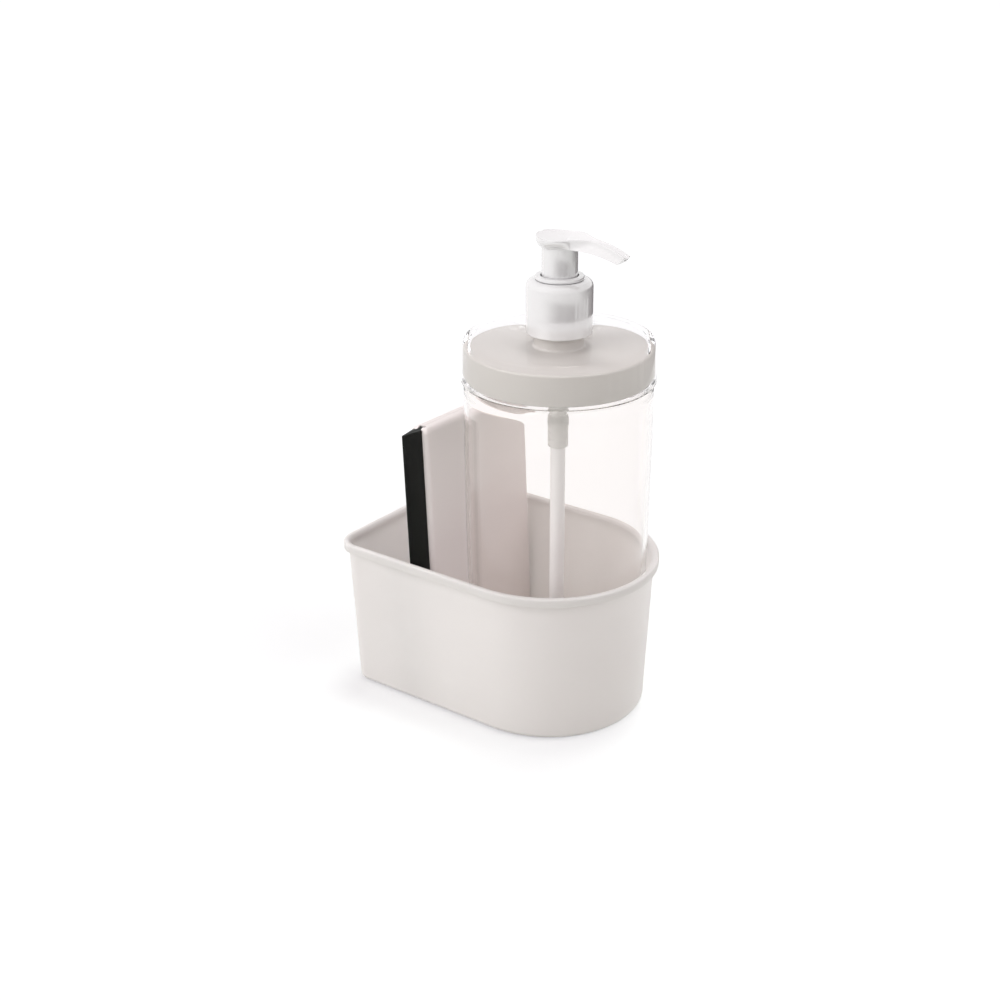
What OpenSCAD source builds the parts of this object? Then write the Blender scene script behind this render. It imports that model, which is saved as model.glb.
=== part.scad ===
// Soap pump caddy: a D-shaped tub whose round end holds a clear bottle with a lotion pump,
// with a sink squeegee standing beside the bottle and a free bay for a sponge.
// Sizes are in millimetres. The origin is the centre of the tub's footprint, on the surface
// that it stands on. X runs along the tub, towards its round end.

/* [Tub] */
// Overall length over the rim
tub_l = 155.2; // [148:1:180]
// Overall width over the rim, which is the round end's diameter
tub_w = 113.2; // [110:0.2:124]
// Height to the top of the rim
tub_h = 82.9; // [60:0.1:100]
// Wall thickness
tub_wall = 1.5; // [1.2:0.1:2]
// Lean of the walls from upright, in degrees
tub_draft = 2.6; // [1.5:0.1:3.2]
// How far the turned-down rim stands out past the wall
rim_out = 2.4; // [1.8:0.1:3]
// Depth of the rim's lip
rim_drop = 4.2; // [3:0.1:6]
// Thickness of the rim's lip
rim_t = 1.1; // [0.8:0.1:1.4]
// Radius that the wall turns through at the rim
rim_turn_r = 2.4; // [1.6:0.1:3]
// Corner radius at the flat end, over the rim
tub_corner_r = 13; // [12:0.5:20]
// Radius of the outer edge round the base
base_r = 4.2; // [3:0.1:4.8]
// Distance of the bottle's axis from the round end's centre, towards the round end
bottle_shift = 4.8; // [3:0.1:5.4]
// Thickness of the floor
floor_t = 1.8; // [1.4:0.1:2.4]
// Height of the foot ring under the floor
foot_h = 0.8; // [0.5:0.1:1.5]
// Width of the foot ring
foot_w = 3; // [2:0.5:5]

/* [Bottle] */
// Distance from the outline of the tub's rim in to the bottle's wall, with the two centred
bottle_in = 9.8; // [9.2:0.1:10.8]
// Height from its foot to its shoulder
bottle_h = 172.8; // [140:0.1:190]
// Wall thickness
bottle_wall = 2; // [1.4:0.1:2.6]
// Thickness of the floor
bottle_floor_t = 2.4; // [1.8:0.1:3.5]
// Radius of the edge round the foot
bottle_foot_r = 3.6; // [3:0.1:5]
// Rise of the floor inside the standing ring
push_up = 1.4; // [0.8:0.1:2.5]
// Width of the standing ring
stand_w = 6; // [4:0.5:9]
// Radius of the shoulder under the lid
shoulder_r = 2.2; // [1.5:0.1:3]
// Height of the mouth above the shoulder
mouth_h = 15.6; // [12:0.1:18]
// Wall thickness of the mouth
mouth_wall = 1.8; // [1.4:0.1:2.2]

/* [Lid] */
// Gap between the bottle's shoulder and the lid's lower edge
lid_gap = 1.8; // [1:0.1:3]
// Thickness of the inner lid's disc
disc_t = 1.8; // [1.4:0.1:2.6]
// Thickness of the inner lid's skirt
skirt_t = 1.4; // [1.2:0.1:1.8]
// Radius of the edge round the inner lid's disc
disc_edge_r = 1.2; // [0.8:0.1:1.4]
// Thickness of the seal between the mouth and the lid
lid_gasket_t = 0.8; // [0.5:0.1:1.2]
// Height of the clear shell at its shoulder
shell_h = 22.2; // [20:0.1:26]
// Wall thickness of the clear shell
shell_wall = 1.8; // [1.3:0.1:2]
// Thickness of the clear shell's top
shell_top_t = 1.8; // [1.4:0.1:2.2]
// Outer radius round the shell's shoulder
shell_round_r = 3.5; // [2.5:0.1:4.5]
// Rise of the shell's top from its shoulder to its hole
shell_dome = 1.5; // [0.4:0.1:2]
// How far the shell's lower lip stands out
shell_lip_out = 1.3; // [0.8:0.1:1.6]
// Height of the shell's lower lip
shell_lip_h = 2; // [1.4:0.1:3]

/* [Neck and collar] */
// Outer radius of the pump neck on the lid
neck_r = 12.4; // [12.2:0.1:13]
// Bore radius of the pump neck
neck_bore_r = 11; // [10.6:0.1:11.2]
// Height of the neck above the inner lid
neck_h = 28.1; // [26.6:0.1:31.6]
// Outer radius of the screw collar
collar_r = 16.3; // [15.6:0.1:17.5]
// Wall thickness of the screw collar
collar_wall = 2; // [1.4:0.1:2.2]
// Height of the screw collar
collar_h = 26.4; // [23:0.1:26.5]
// Thickness of the collar's top
collar_top_t = 2; // [1.6:0.1:3]
// Radius round the collar's shoulder
collar_round_r = 3.6; // [2.5:0.1:4]

/* [Pump] */
// Travel of the pump head
stroke = 13; // [8:0.5:14]
// Outer radius of the skirt under the head
head_skirt_r = 8.7; // [8.4:0.1:8.9]
// Wall thickness of that skirt
head_skirt_wall = 1; // [0.8:0.1:1.2]
// Height of that skirt
head_skirt_h = 14.8; // [14.5:0.1:18]
// Outer radius of the thumb pad
pad_r = 11.25; // [10.6:0.1:12.6]
// Reach of the spout from the pump's axis
spout_reach = 37.5; // [30:0.1:42]
// Height of the pad's rim above its underside
pad_t = 4.6; // [4:0.1:6]
// Outer radius of the stem
stem_r = 4.1; // [3.6:0.1:4.2]
// Wall thickness of the stem
stem_wall = 1.2; // [0.9:0.1:1.3]
// Bore radius of the pump cylinder
barrel_bore_r = 6.2; // [5.8:0.1:6.6]
// Wall thickness of the pump cylinder
barrel_wall = 1.1; // [0.9:0.1:1.4]
// Bore radius of the lower cylinder that holds the spring
spring_bore_r = 4; // [3.8:0.1:4.2]
// Length of the lower cylinder, down to the tube socket
spring_bore_l = 25.7; // [22:0.1:40]
// Length of the piston
piston_l = 8.65; // [6:0.05:9.8]
// Outer radius of the dip tube
tube_r = 3.75; // [3.2:0.05:3.9]
// Wall thickness of the dip tube
tube_wall = 0.85; // [0.6:0.05:1]
// Gap between the dip tube and the bottle's floor
tube_gap = 2; // [1:0.5:6]
// Thickness of the spring's wire
wire_d = 0.8; // [0.6:0.1:0.9]
// Number of turns in the spring
spring_turns = 13; // [8:1:16]
// Radius of the check ball
ball_r = 2.4; // [2.2:0.1:2.6]

/* [Squeegee] */
// Length of the handle, which stands upright in the tub
grip_l = 146.2; // [110:1:160]
// Thickness of the handle
grip_t = 11; // [9:0.5:13]
// Wall thickness of its two shells
grip_wall = 1.8; // [1.4:0.1:2.4]
// Radius of the handle's corners at the grip
grip_corner_r = 13; // [8:0.5:18]
// Radius of the handle's corners at the blade
root_corner_r = 3; // [2.5:0.5:6]
// Radius round the handle's faces
grip_edge_r = 4.2; // [3:0.1:4.4]
// How much of the blade shows past the handle
blade_out = 12; // [8:0.5:16]
// Thickness of the blade at its lip
blade_lip_t = 1; // [0.6:0.1:1.6]
// Thickness of the blade at its root
blade_root_t = 5.4; // [4:0.1:6.5]
// Thickness of the blade's tongue
tongue_t = 2.4; // [1.8:0.1:2.8]
// Thickness of the bead on the tongue
bead_t = 4; // [3.4:0.1:4.6]
// Lean of the standing squeegee, in degrees
squeegee_lean = 2.3; // [0:0.1:3]
// Distance from the bottle's wall to the middle of the squeegee's foot
squeegee_gap = 7.8; // [6.2:0.2:12]

/* [Clearances] */
// Gap round pieces that lift out
lift_gap = 0.6; // [0.4:0.1:1]
// Gap between pieces that slide or turn on each other
run_gap = 0.1; // [0.05:0.01:0.15]
// Gap between pieces that are pressed together
press_gap = 0.02; // [0.01:0.01:0.05]
// Gap under a piece that rests on a curved or leaning face
rest_gap = 0.05; // [0.02:0.01:0.1]

/* [Hidden] */
$fn = 96;
// Facets of small round parts
small_fn = 48;
// Overrun of cuts past a face
cut = 1;
// Overlap where two volumes of one piece join
join = 0.3;
// Steps along a quarter of an arc
arc_steps = 6;

// Heights of the stacked pieces, from the standing surface up
floor_z = foot_h + floor_t;
shoulder_z = floor_z + bottle_h;
mouth_z = shoulder_z + mouth_h;
disc_z = mouth_z + lid_gasket_t;
disc_top_z = disc_z + disc_t;
shell_z = shoulder_z + lid_gap;
shell_edge_z = shell_z + shell_h;
neck_z = disc_top_z + neck_h;
pump_gasket_t = 1;
flange_t = 1.4;
chaplet_flange_t = 1.6;
flange_z = neck_z + pump_gasket_t;
chaplet_z = flange_z + flange_t;
collar_web_z = chaplet_z + chaplet_flange_t;
collar_top_z = collar_web_z + collar_top_t;
collar_z = collar_top_z - collar_h;

// Plan of the tub
round_x = (tub_l - tub_w) / 2;
axis_x = round_x + bottle_shift;
rim_r = tub_w / 2;
bottle_r = rim_r - bottle_in;
squeegee_x = bottle_r + squeegee_gap;
rim_edge_r = rim_t * 0.8;
slope = tan(tub_draft);
base_lift = base_r * (1 - sin(tub_draft));
// Offset of the wall's outer face from the rim's outline, at a height
function wall_u(z) = -rim_out - (tub_h - z) * slope;
fillet_u = wall_u(base_r) - base_r;
ring_u = fillet_u - 2 * join;

// Bottle, whose foot comes from the tub that holds it
tub_floor_r = rim_r + wall_u(floor_z) - tub_wall;
foot_top_z = floor_z + bottle_foot_r;
foot_r = min(rim_r + wall_u(foot_top_z) - tub_wall - bottle_shift - lift_gap, bottle_r);
// Radius of the bottle's wall at a share of its height: straight above, drawn in below
function body_r(share) = bottle_r - (bottle_r - foot_r) * pow(1 - share, 2.5);

// Lid, and the mouth inside it with room for the thread
disc_r = bottle_r - shell_wall - press_gap * 5;
skirt_r = disc_r - skirt_t;
thread_room = 1.38;
mouth_r = skirt_r - thread_room;
mouth_bore_r = mouth_r - mouth_wall;
shell_ledge_r = disc_r - disc_edge_r;
shell_hole_r = neck_r + shell_wall * 0.7;

// Pump neck, chaplet and cylinder, from the neck's bore inwards
flange_r = neck_r - run_gap;
cup_wall = 0.9;
sleeve_wall = 0.6;
cup_r = neck_bore_r - 2 * run_gap;
cup_bore_r = cup_r - cup_wall;
sleeve_r = cup_bore_r - press_gap;
sleeve_bore_r = sleeve_r - sleeve_wall;
ring_up = 2;
ring_top_z = collar_top_z + ring_up;
throat_r = sleeve_r + 3 * sleeve_wall / 2;
ring_r = throat_r + 1.85 * sleeve_wall;
skirt_z = ring_top_z - ring_up / 2;
pad_z = skirt_z + head_skirt_h;
plate_t = 1.4;
well_z = skirt_z - stroke - plate_t;
shelf_z = well_z - plate_t;
guide_wall = 1.1;
guide_h = 8;
guide_bore_r = stem_r + run_gap;
piston_gap = 0.5;
piston_top_z = shelf_z - piston_gap;
piston_z = piston_top_z - piston_l;
seat_t = 1.8;
seat_z = piston_z - seat_t;
seat_r = barrel_bore_r - 1.3 * barrel_wall;
seat_boss_l = 3.2;
barrel_z = seat_z - stroke - piston_gap;
cone_l = 4;
spring_bore_z = barrel_z - cone_l;
spring_z = spring_bore_z - spring_bore_l;
lip_t = 0.8;
ball_play = 1.6;
ball_seat_r = 1.7;
ball_rise = sqrt(ball_r * ball_r - ball_seat_r * ball_seat_r);
ball_bore_r = ball_r + 5 * run_gap;
ball_room = ball_rise + ball_r + ball_play;
ball_seat_z = spring_z - lip_t - ball_room;
seat_plate_t = 2;
socket_top_z = ball_seat_z - seat_plate_t;
socket_l = 8;
socket_z = socket_top_z - socket_l;
barrel_r = barrel_bore_r + barrel_wall;
lower_r = spring_bore_r + barrel_wall;
spring_r = spring_bore_r - wire_d;
spring_low_z = spring_z + wire_d / 2 + rest_gap;
spring_high_z = seat_z - wire_d / 2 - rest_gap;
coil_gap = 0.45;
tube_low_z = floor_z + push_up + bottle_floor_t + tube_gap;
stem_bore_r = stem_r - stem_wall;
stem_low_r = stem_r - 0.8 * stem_wall;
stem_low_bore_r = stem_low_r - 0.8 * stem_wall;

// Squeegee, whose width fills the tub's floor
grip_w = 2 * (tub_floor_r - lift_gap);
blade_y = -grip_w / 2;
root_y = blade_y + blade_out;
tongue_l = 3;
bead_l = 1.6;
lip_w = tongue_l + bead_l + bead_t / 4;
post_r = 1.7;
post_wall = 1.2;

// Points along an arc, by its centre, radius and first and last angle
function arc(c, r, a0, a1, n = arc_steps) =
    [for (i = [0 : n]) c + r * [cos(a0 + (a1 - a0) * i / n), sin(a0 + (a1 - a0) * i / n)]];

// A tube between two heights on the pump's axis
module tube(r_out, r_in, z0, z1) {
    translate([axis_x, 0, z0])
        difference() {
            cylinder(r = r_out, h = z1 - z0);
            translate([0, 0, -cut]) cylinder(r = r_in, h = z1 - z0 + 2 * cut);
        }
}

// A profile turned about the pump's axis
module turned(points) {
    translate([axis_x, 0, 0]) rotate_extrude() polygon(points);
}

// Plan of the tub, drawn in from the rim's outline by an offset
module tub_plan(u) {
    r = rim_r + u;
    end_x = -tub_l / 2 - u;
    corner_r = max(tub_corner_r + u, rim_t);
    translate([round_x, 0]) circle(r = r);
    translate([end_x + corner_r, -r]) square([round_x - end_x - corner_r, 2 * r]);
    translate([end_x, corner_r - r]) square([round_x - end_x, 2 * (r - corner_r)]);
    for (side = [-1, 1])
        translate([end_x + corner_r, side * (r - corner_r)]) circle(r = corner_r);
}

// Section of the tub's wall: foot, base fillet, drafted wall and turned-down rim.
// Its zero is the rim's outermost line.
module tub_section() {
    inner_u = wall_u(tub_h) - tub_wall;
    fillet_in = base_r - tub_wall;
    polygon(concat(
        [[ring_u, 0]],
        arc([fillet_u, base_r], base_r, 270, 360 - tub_draft),
        [[wall_u(tub_h - rim_t), tub_h - rim_t]],
        [[-rim_t, tub_h - rim_t], [-rim_t, tub_h - rim_drop]],
        arc([-rim_t / 2, tub_h - rim_drop], rim_t / 2, 180, 360, 4),
        arc([-rim_edge_r, tub_h - rim_edge_r], rim_edge_r, 0, 90, 4),
        arc([inner_u + rim_turn_r, tub_h - rim_turn_r], rim_turn_r, 90, 180),
        arc([wall_u(floor_z + fillet_in) - tub_wall - fillet_in, floor_z + fillet_in],
            fillet_in, -tub_draft, -90),
        [[ring_u, floor_z]]
    ));
}

module tub() {
    flat = rim_r - tub_corner_r;
    corner_x = tub_corner_r - tub_l / 2;
    color([0.9, 0.88, 0.86]) {
        translate([round_x, 0, 0]) rotate([0, 0, -90])
            rotate_extrude(angle = 180) translate([rim_r, 0]) tub_section();
        for (side = [0, 1]) mirror([0, side, 0]) {
            translate([corner_x, rim_r, 0]) rotate([90, 0, 90])
                linear_extrude(height = round_x - corner_x) tub_section();
            translate([corner_x, flat, 0]) rotate([0, 0, 90])
                rotate_extrude(angle = 90) translate([tub_corner_r, 0]) tub_section();
        }
        translate([-tub_l / 2, flat, 0]) rotate([90, 0, 0])
            linear_extrude(height = 2 * flat) mirror([1, 0, 0]) tub_section();
        translate([0, 0, foot_h]) linear_extrude(height = floor_t) tub_plan(fillet_u - join);
        linear_extrude(height = foot_h + floor_t / 2) difference() {
            tub_plan(fillet_u - join);
            tub_plan(fillet_u - foot_w);
        }
    }
}

module bottle() {
    foot_in = max(bottle_foot_r - bottle_wall, bottle_wall / 2);
    low_r = foot_r - bottle_wall;
    floor_in_z = floor_z + bottle_floor_t;
    ring_in_r = foot_r - bottle_foot_r - stand_w;
    top_z = shoulder_z - shoulder_r;
    lip_r = mouth_wall / 3;
    shares = [0.1, 0.2, 0.3, 0.4, 0.55, 0.75];
    body = [for (t = shares) [body_r(t), foot_top_z + t * (top_z - foot_top_z)]];
    n = len(body);
    color([0.85, 0.87, 0.9, 0.35]) turned(concat(
        [[0, floor_z + push_up], [ring_in_r - push_up, floor_z + push_up], [ring_in_r, floor_z]],
        arc([foot_r - bottle_foot_r, foot_top_z], bottle_foot_r, 270, 360),
        body,
        arc([bottle_r - shoulder_r, top_z], shoulder_r, 0, 90),
        [[mouth_r, shoulder_z]],
        arc([mouth_r - lip_r, mouth_z - lip_r], lip_r, 0, 90, 3),
        arc([mouth_bore_r + lip_r, mouth_z - lip_r], lip_r, 90, 180, 3),
        [[mouth_bore_r, shoulder_z - bottle_wall / 2]],
        [[bottle_r - bottle_wall, top_z - bottle_wall * 1.5]],
        [for (i = [n - 1 : -1 : 0]) body[i] - [bottle_wall, 0]],
        arc([low_r - foot_in, floor_in_z + foot_in], foot_in, 0, -90),
        [[ring_in_r, floor_in_z], [ring_in_r - push_up, floor_in_z + push_up],
         [0, floor_in_z + push_up]]
    ));
}

module lid_gasket() {
    color([0.75, 0.75, 0.75])
        tube(mouth_r - mouth_wall / 6, mouth_bore_r, mouth_z, disc_z);
}

// Opaque screw lid with the pump's neck
module inner_lid() {
    edge = disc_edge_r;
    skirt_low_z = shell_z + shell_lip_h / 2 + press_gap;
    web = disc_t * 0.8;
    color([0.84, 0.82, 0.79]) turned(concat(
        [[neck_bore_r, disc_z], [skirt_r - web, disc_z], [skirt_r, disc_z - web],
         [skirt_r, skirt_low_z], [disc_r, skirt_low_z]],
        arc([disc_r - edge, disc_top_z - edge], edge, 0, 90),
        arc([neck_r + edge, disc_top_z + edge], edge, 270, 180),
        [[neck_r, neck_z], [neck_bore_r, neck_z]]
    ));
}

// Clear shell that snaps over the inner lid: a bead holds it below, a ledge seats it above
module lid_shell() {
    round_in = max(shell_round_r - shell_wall, shell_wall / 3);
    in_edge_z = shell_edge_z - shell_top_t;
    slot_r = disc_r + press_gap;
    hole_z = shell_edge_z + shell_dome;
    lip = shell_lip_h / 2;
    color([0.88, 0.89, 0.92, 0.35]) turned(concat(
        [[slot_r, shell_z + lip], [slot_r - lip / 2, shell_z + lip / 2],
         [slot_r - lip / 2, shell_z]],
        arc([bottle_r + shell_lip_out - lip, shell_z + lip], lip, -90, 0),
        arc([bottle_r + shell_lip_out - lip, shell_z + lip], lip, 0, 60, 3),
        [[bottle_r + shell_lip_out / 3, shell_z + 2 * shell_lip_h]],
        arc([bottle_r - shell_round_r, shell_edge_z - shell_round_r], shell_round_r, 0, 86),
        [[shell_hole_r + shell_wall / 3, hole_z], [shell_hole_r, hole_z - shell_wall / 3],
         [shell_hole_r, hole_z - shell_top_t],
         [shell_ledge_r - round_in, in_edge_z]],
        arc([shell_ledge_r - round_in, in_edge_z - round_in], round_in, 90, 0, 4),
        [[shell_ledge_r, disc_top_z + press_gap], [slot_r, disc_top_z + press_gap]]
    ));
}

// Smooth screw collar, whose bore takes the neck and its thread
module collar() {
    bore_r = collar_r - collar_wall;
    edge = collar_wall / 4;
    color([0.96, 0.96, 0.96]) turned(concat(
        [[bore_r, collar_z], [collar_r - edge, collar_z], [collar_r, collar_z + edge]],
        arc([collar_r - collar_round_r, collar_top_z - collar_round_r], collar_round_r, 0, 90, 8),
        [[throat_r + 1.5 * run_gap, collar_top_z], [throat_r + 1.5 * run_gap, collar_web_z],
         [bore_r - edge, collar_web_z], [bore_r, collar_web_z - edge]]
    ));
}

// Guide that snaps into the cylinder, holds the collar and guides the stem
module chaplet() {
    tip = ring_up / 3;
    color([0.95, 0.95, 0.95]) turned(concat(
        [[guide_bore_r, well_z - plate_t], [sleeve_r, well_z - plate_t],
         [sleeve_r, chaplet_z], [flange_r, chaplet_z], [flange_r, collar_web_z],
         [throat_r, collar_web_z], [throat_r, collar_top_z + 2 * run_gap],
         [ring_r, collar_top_z + 2 * run_gap]],
        arc([ring_r - tip, ring_top_z - tip], tip, 0, 90, 4),
        arc([sleeve_bore_r + tip / 2, ring_top_z - tip / 2], tip / 2, 90, 180, 3),
        [[sleeve_bore_r, well_z], [guide_bore_r + guide_wall, well_z],
         [guide_bore_r + guide_wall, well_z + guide_h], [guide_bore_r, well_z + guide_h]]
    ));
}

module pump_gasket() {
    color([0.8, 0.8, 0.78])
        tube(flange_r, cup_r + run_gap, neck_z, flange_z);
}

// Pump cylinder: flange, wide cup, piston bore, spring bore, ball seat and tube socket
module housing() {
    color([0.93, 0.93, 0.92]) turned([
        [cup_r, flange_z], [flange_r, flange_z], [flange_r, chaplet_z], [cup_bore_r, chaplet_z],
        [cup_bore_r, shelf_z], [barrel_bore_r, shelf_z], [barrel_bore_r, barrel_z],
        [spring_bore_r, spring_bore_z], [spring_bore_r, spring_z],
        [ball_r - 4 * run_gap, spring_z], [ball_r - 4 * run_gap, spring_z - lip_t],
        [ball_bore_r, spring_z - lip_t], [ball_bore_r, ball_seat_z], [ball_seat_r, ball_seat_z],
        [ball_seat_r, socket_top_z], [tube_r + press_gap, socket_top_z],
        [tube_r + press_gap, socket_z], [lower_r - barrel_wall / 4, socket_z],
        [lower_r, socket_z + barrel_wall / 4], [lower_r, spring_bore_z],
        [barrel_r, barrel_z], [barrel_r, shelf_z - 2.5 * cup_wall],
        [cup_bore_r, shelf_z - cup_wall], [cup_r, shelf_z]
    ]);
}

// Hollow stem, necked down where the piston rides, with cross ports under the piston
module stem() {
    top_z = pad_z - stem_wall / 2;
    step_z = piston_top_z + piston_gap / 2;
    color([0.95, 0.95, 0.95]) difference() {
        turned([
            [stem_low_bore_r, piston_z], [stem_low_r, piston_z], [stem_low_r, step_z],
            [stem_r, step_z + stem_wall], [stem_r, top_z], [stem_bore_r, top_z],
            [stem_bore_r, step_z + 2 * stem_wall], [stem_low_bore_r, step_z + stem_wall]
        ]);
        translate([axis_x - stem_r, 0, piston_z + piston_l * 0.75]) rotate([0, 90, 0])
            cylinder(r = stem_low_bore_r / 3, h = 2 * stem_r, $fn = small_fn);
    }
}

// Double-lipped piston
module piston() {
    lip_l = piston_l / 5;
    lip_r = barrel_bore_r - run_gap / 2;
    waist_r = lip_r - barrel_wall;
    color([0.9, 0.9, 0.88]) turned([
        [stem_low_r + press_gap, piston_z], [lip_r, piston_z], [lip_r, piston_z + lip_l],
        [waist_r, piston_z + 2 * lip_l], [waist_r, piston_top_z - 2 * lip_l],
        [lip_r, piston_top_z - lip_l], [lip_r, piston_top_z], [stem_low_r + press_gap, piston_top_z]
    ]);
}

// Plug in the stem's end, with the disc that the spring pushes on
module piston_seat() {
    peg_r = stem_low_bore_r - press_gap;
    boss_r = spring_r - wire_d;
    color([0.92, 0.92, 0.92]) turned([
        [0, seat_z - seat_boss_l], [boss_r - wire_d / 2, seat_z - seat_boss_l],
        [boss_r, seat_z - seat_boss_l + wire_d], [boss_r, seat_z], [seat_r, seat_z],
        [seat_r, piston_z], [peg_r, piston_z], [peg_r, piston_z + piston_l / 2],
        [0, piston_z + piston_l / 2 + wire_d]
    ]);
}

// Centre of the spring's wire after a share of its turns: the first and last turn are closed
// up to a small gap, and those between them share the rest of the height
function spring_centre(t) =
    let (end_share = 1 / spring_turns, end_rise = wire_d + coil_gap, a = t * spring_turns * 360,
         open_share = min(max((t - end_share) / (1 - 2 * end_share), 0), 1),
         open_rise = spring_high_z - spring_low_z - 2 * end_rise)
    [spring_r * cos(a), spring_r * sin(a),
     spring_low_z + end_rise * (min(t / end_share, 1) + max((t - 1) / end_share + 1, 0))
         + open_rise * open_share];

// Helical return spring, swept as one unbroken tube
module spring() {
    turn_steps = 8;
    sides = 6;
    wire_r = wire_d / 2;
    steps = spring_turns * turn_steps;
    centres = [for (i = [0 : steps]) spring_centre(i / steps)];
    points = [for (i = [0 : steps], j = [0 : sides - 1])
        let (a = i * 360 / turn_steps, b = 360 * j / sides)
        centres[i] + wire_r * [cos(b) * cos(a), cos(b) * sin(a), sin(b)]];
    walls = [for (i = [0 : steps - 1], j = [0 : sides - 1])
        let (k = (j + 1) % sides, p = i * sides, q = p + sides)
        each [[p + j, q + j, q + k], [p + j, q + k, p + k]]];
    first = [for (j = [1 : sides - 2]) [0, j, j + 1]];
    last = [for (j = [1 : sides - 2]) [steps * sides, steps * sides + j + 1, steps * sides + j]];
    least = min([for (i = [0 : steps], j = [i + turn_steps / 2 : steps])
        norm(centres[j] - centres[i])]);
    echo(least_gap_between_spring_coils = least - wire_d);
    color([0.7, 0.71, 0.73]) translate([axis_x, 0, 0])
        polyhedron(points = points, faces = concat(first, walls, last), convexity = spring_turns);
}

module inlet_ball() {
    color([0.75, 0.76, 0.78])
        translate([axis_x, 0, ball_seat_z + ball_rise + rest_gap]) sphere(r = ball_r, $fn = small_fn);
}

// Dip tube, cut at a slant so that the bottle's floor can't close it
module dip_tube() {
    top_z = socket_top_z - press_gap;
    color([0.9, 0.9, 0.92, 0.7]) difference() {
        tube(tube_r, tube_r - tube_wall, tube_low_z, top_z);
        translate([axis_x - tube_r, 0, tube_low_z]) rotate([0, -45, 0])
            translate([-cut, -tube_r - cut, -2 * tube_r])
                cube([4 * tube_r, 2 * tube_r + 2 * cut, 2 * tube_r]);
    }
}

// Half width of the head's top rim at a distance from the axis: a round pad, a little
// wider than it is long, that narrows in an S to the spout
function rim_half(x) =
    let (tip_w = 0.24 * pad_r, wide = 1.07 * pad_r, neck_x = 0.06 * spout_reach,
         s = min(max((x - neck_x) / (0.56 * spout_reach - neck_x), 0), 1))
    x <= 0 ? wide * sqrt(max(1 - x * x / (pad_r * pad_r), 0))
           : tip_w + (wide - tip_w) * (1 - s * s * (3 - 2 * s));
// Half width of the underside, wider than the rim out along the arm
function low_half(x) = let (s = max(x, 0) / spout_reach)
    min(x <= 0 ? rim_half(x) * 0.8 : 0.8 * pad_r - 0.4 * pad_r * s, 0.8 * pad_r);
// Height of the rim above the pad's underside: a slight rise, then the droop of the arm
function rim_up(x) = let (s = max(x, 0) / spout_reach, back = max(-x, 0) / pad_r)
    pad_t * (1.04 + 1.2 * s - 1.19 * s * s - 1.04 * s * s * s + 0.25 * back * back);
// Height of the underside above the pad's own: it rises towards the back and along the arm
function low_up(x) = let (s = max(x, 0) / spout_reach, back = max(-x, 0) / pad_r)
    pad_t * (1.3 * s - 1.89 * s * s - 0.1 * s * s * s + 0.45 * back * back);
// Depth of the dish below the rim
function dish(x) = let (s = max(x, 0) / spout_reach, b = min(max((x + pad_r) / pad_r, 0), 1))
    pad_t * (0.5 - 0.36 * s) * b;

// One closed section of the head at a distance along the arm: underside, flared side,
// rim and dished top. The foot of the section leans back at the tip.
function head_section(x) =
    let (w = max(rim_half(x), pad_t / 40), v = max(low_half(x), pad_t / 50),
         top = rim_up(x), low = low_up(x), d = dish(x), edge = min(0.08 * pad_r, w / 3),
         s = max(x, 0) / spout_reach, back = pad_t * 0.6 * s * s,
         side = [for (t = [0, 0.12, 0.3, 0.5, 0.7, 0.88])
                    [x - back * (1 - t), v + (w - v) * (s > 0.2 ? 1 - (1 - t) * (1 - t) : t * (2 - t)),
                     low + (top - edge / 2 - low) * t]],
         rim = [[x, w, top - edge / 2], [x, w - edge / 3, top], [x, w - edge, top - edge / 4]],
         cup = [for (t = [0.75, 0.5, 0.25, 0]) [x, (w - edge) * t, top - edge / 4 - d * (1 - t * t)]],
         crown = 0.04 * pad_t,
         half = concat([[x - back, 0, low - crown], [x - back, v * 0.6, low - crown / 2]], side, rim, cup),
         n = len(half))
    concat(half, [for (i = [n - 2 : -1 : 1]) [half[i][0], -half[i][1], half[i][2]]]);

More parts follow.
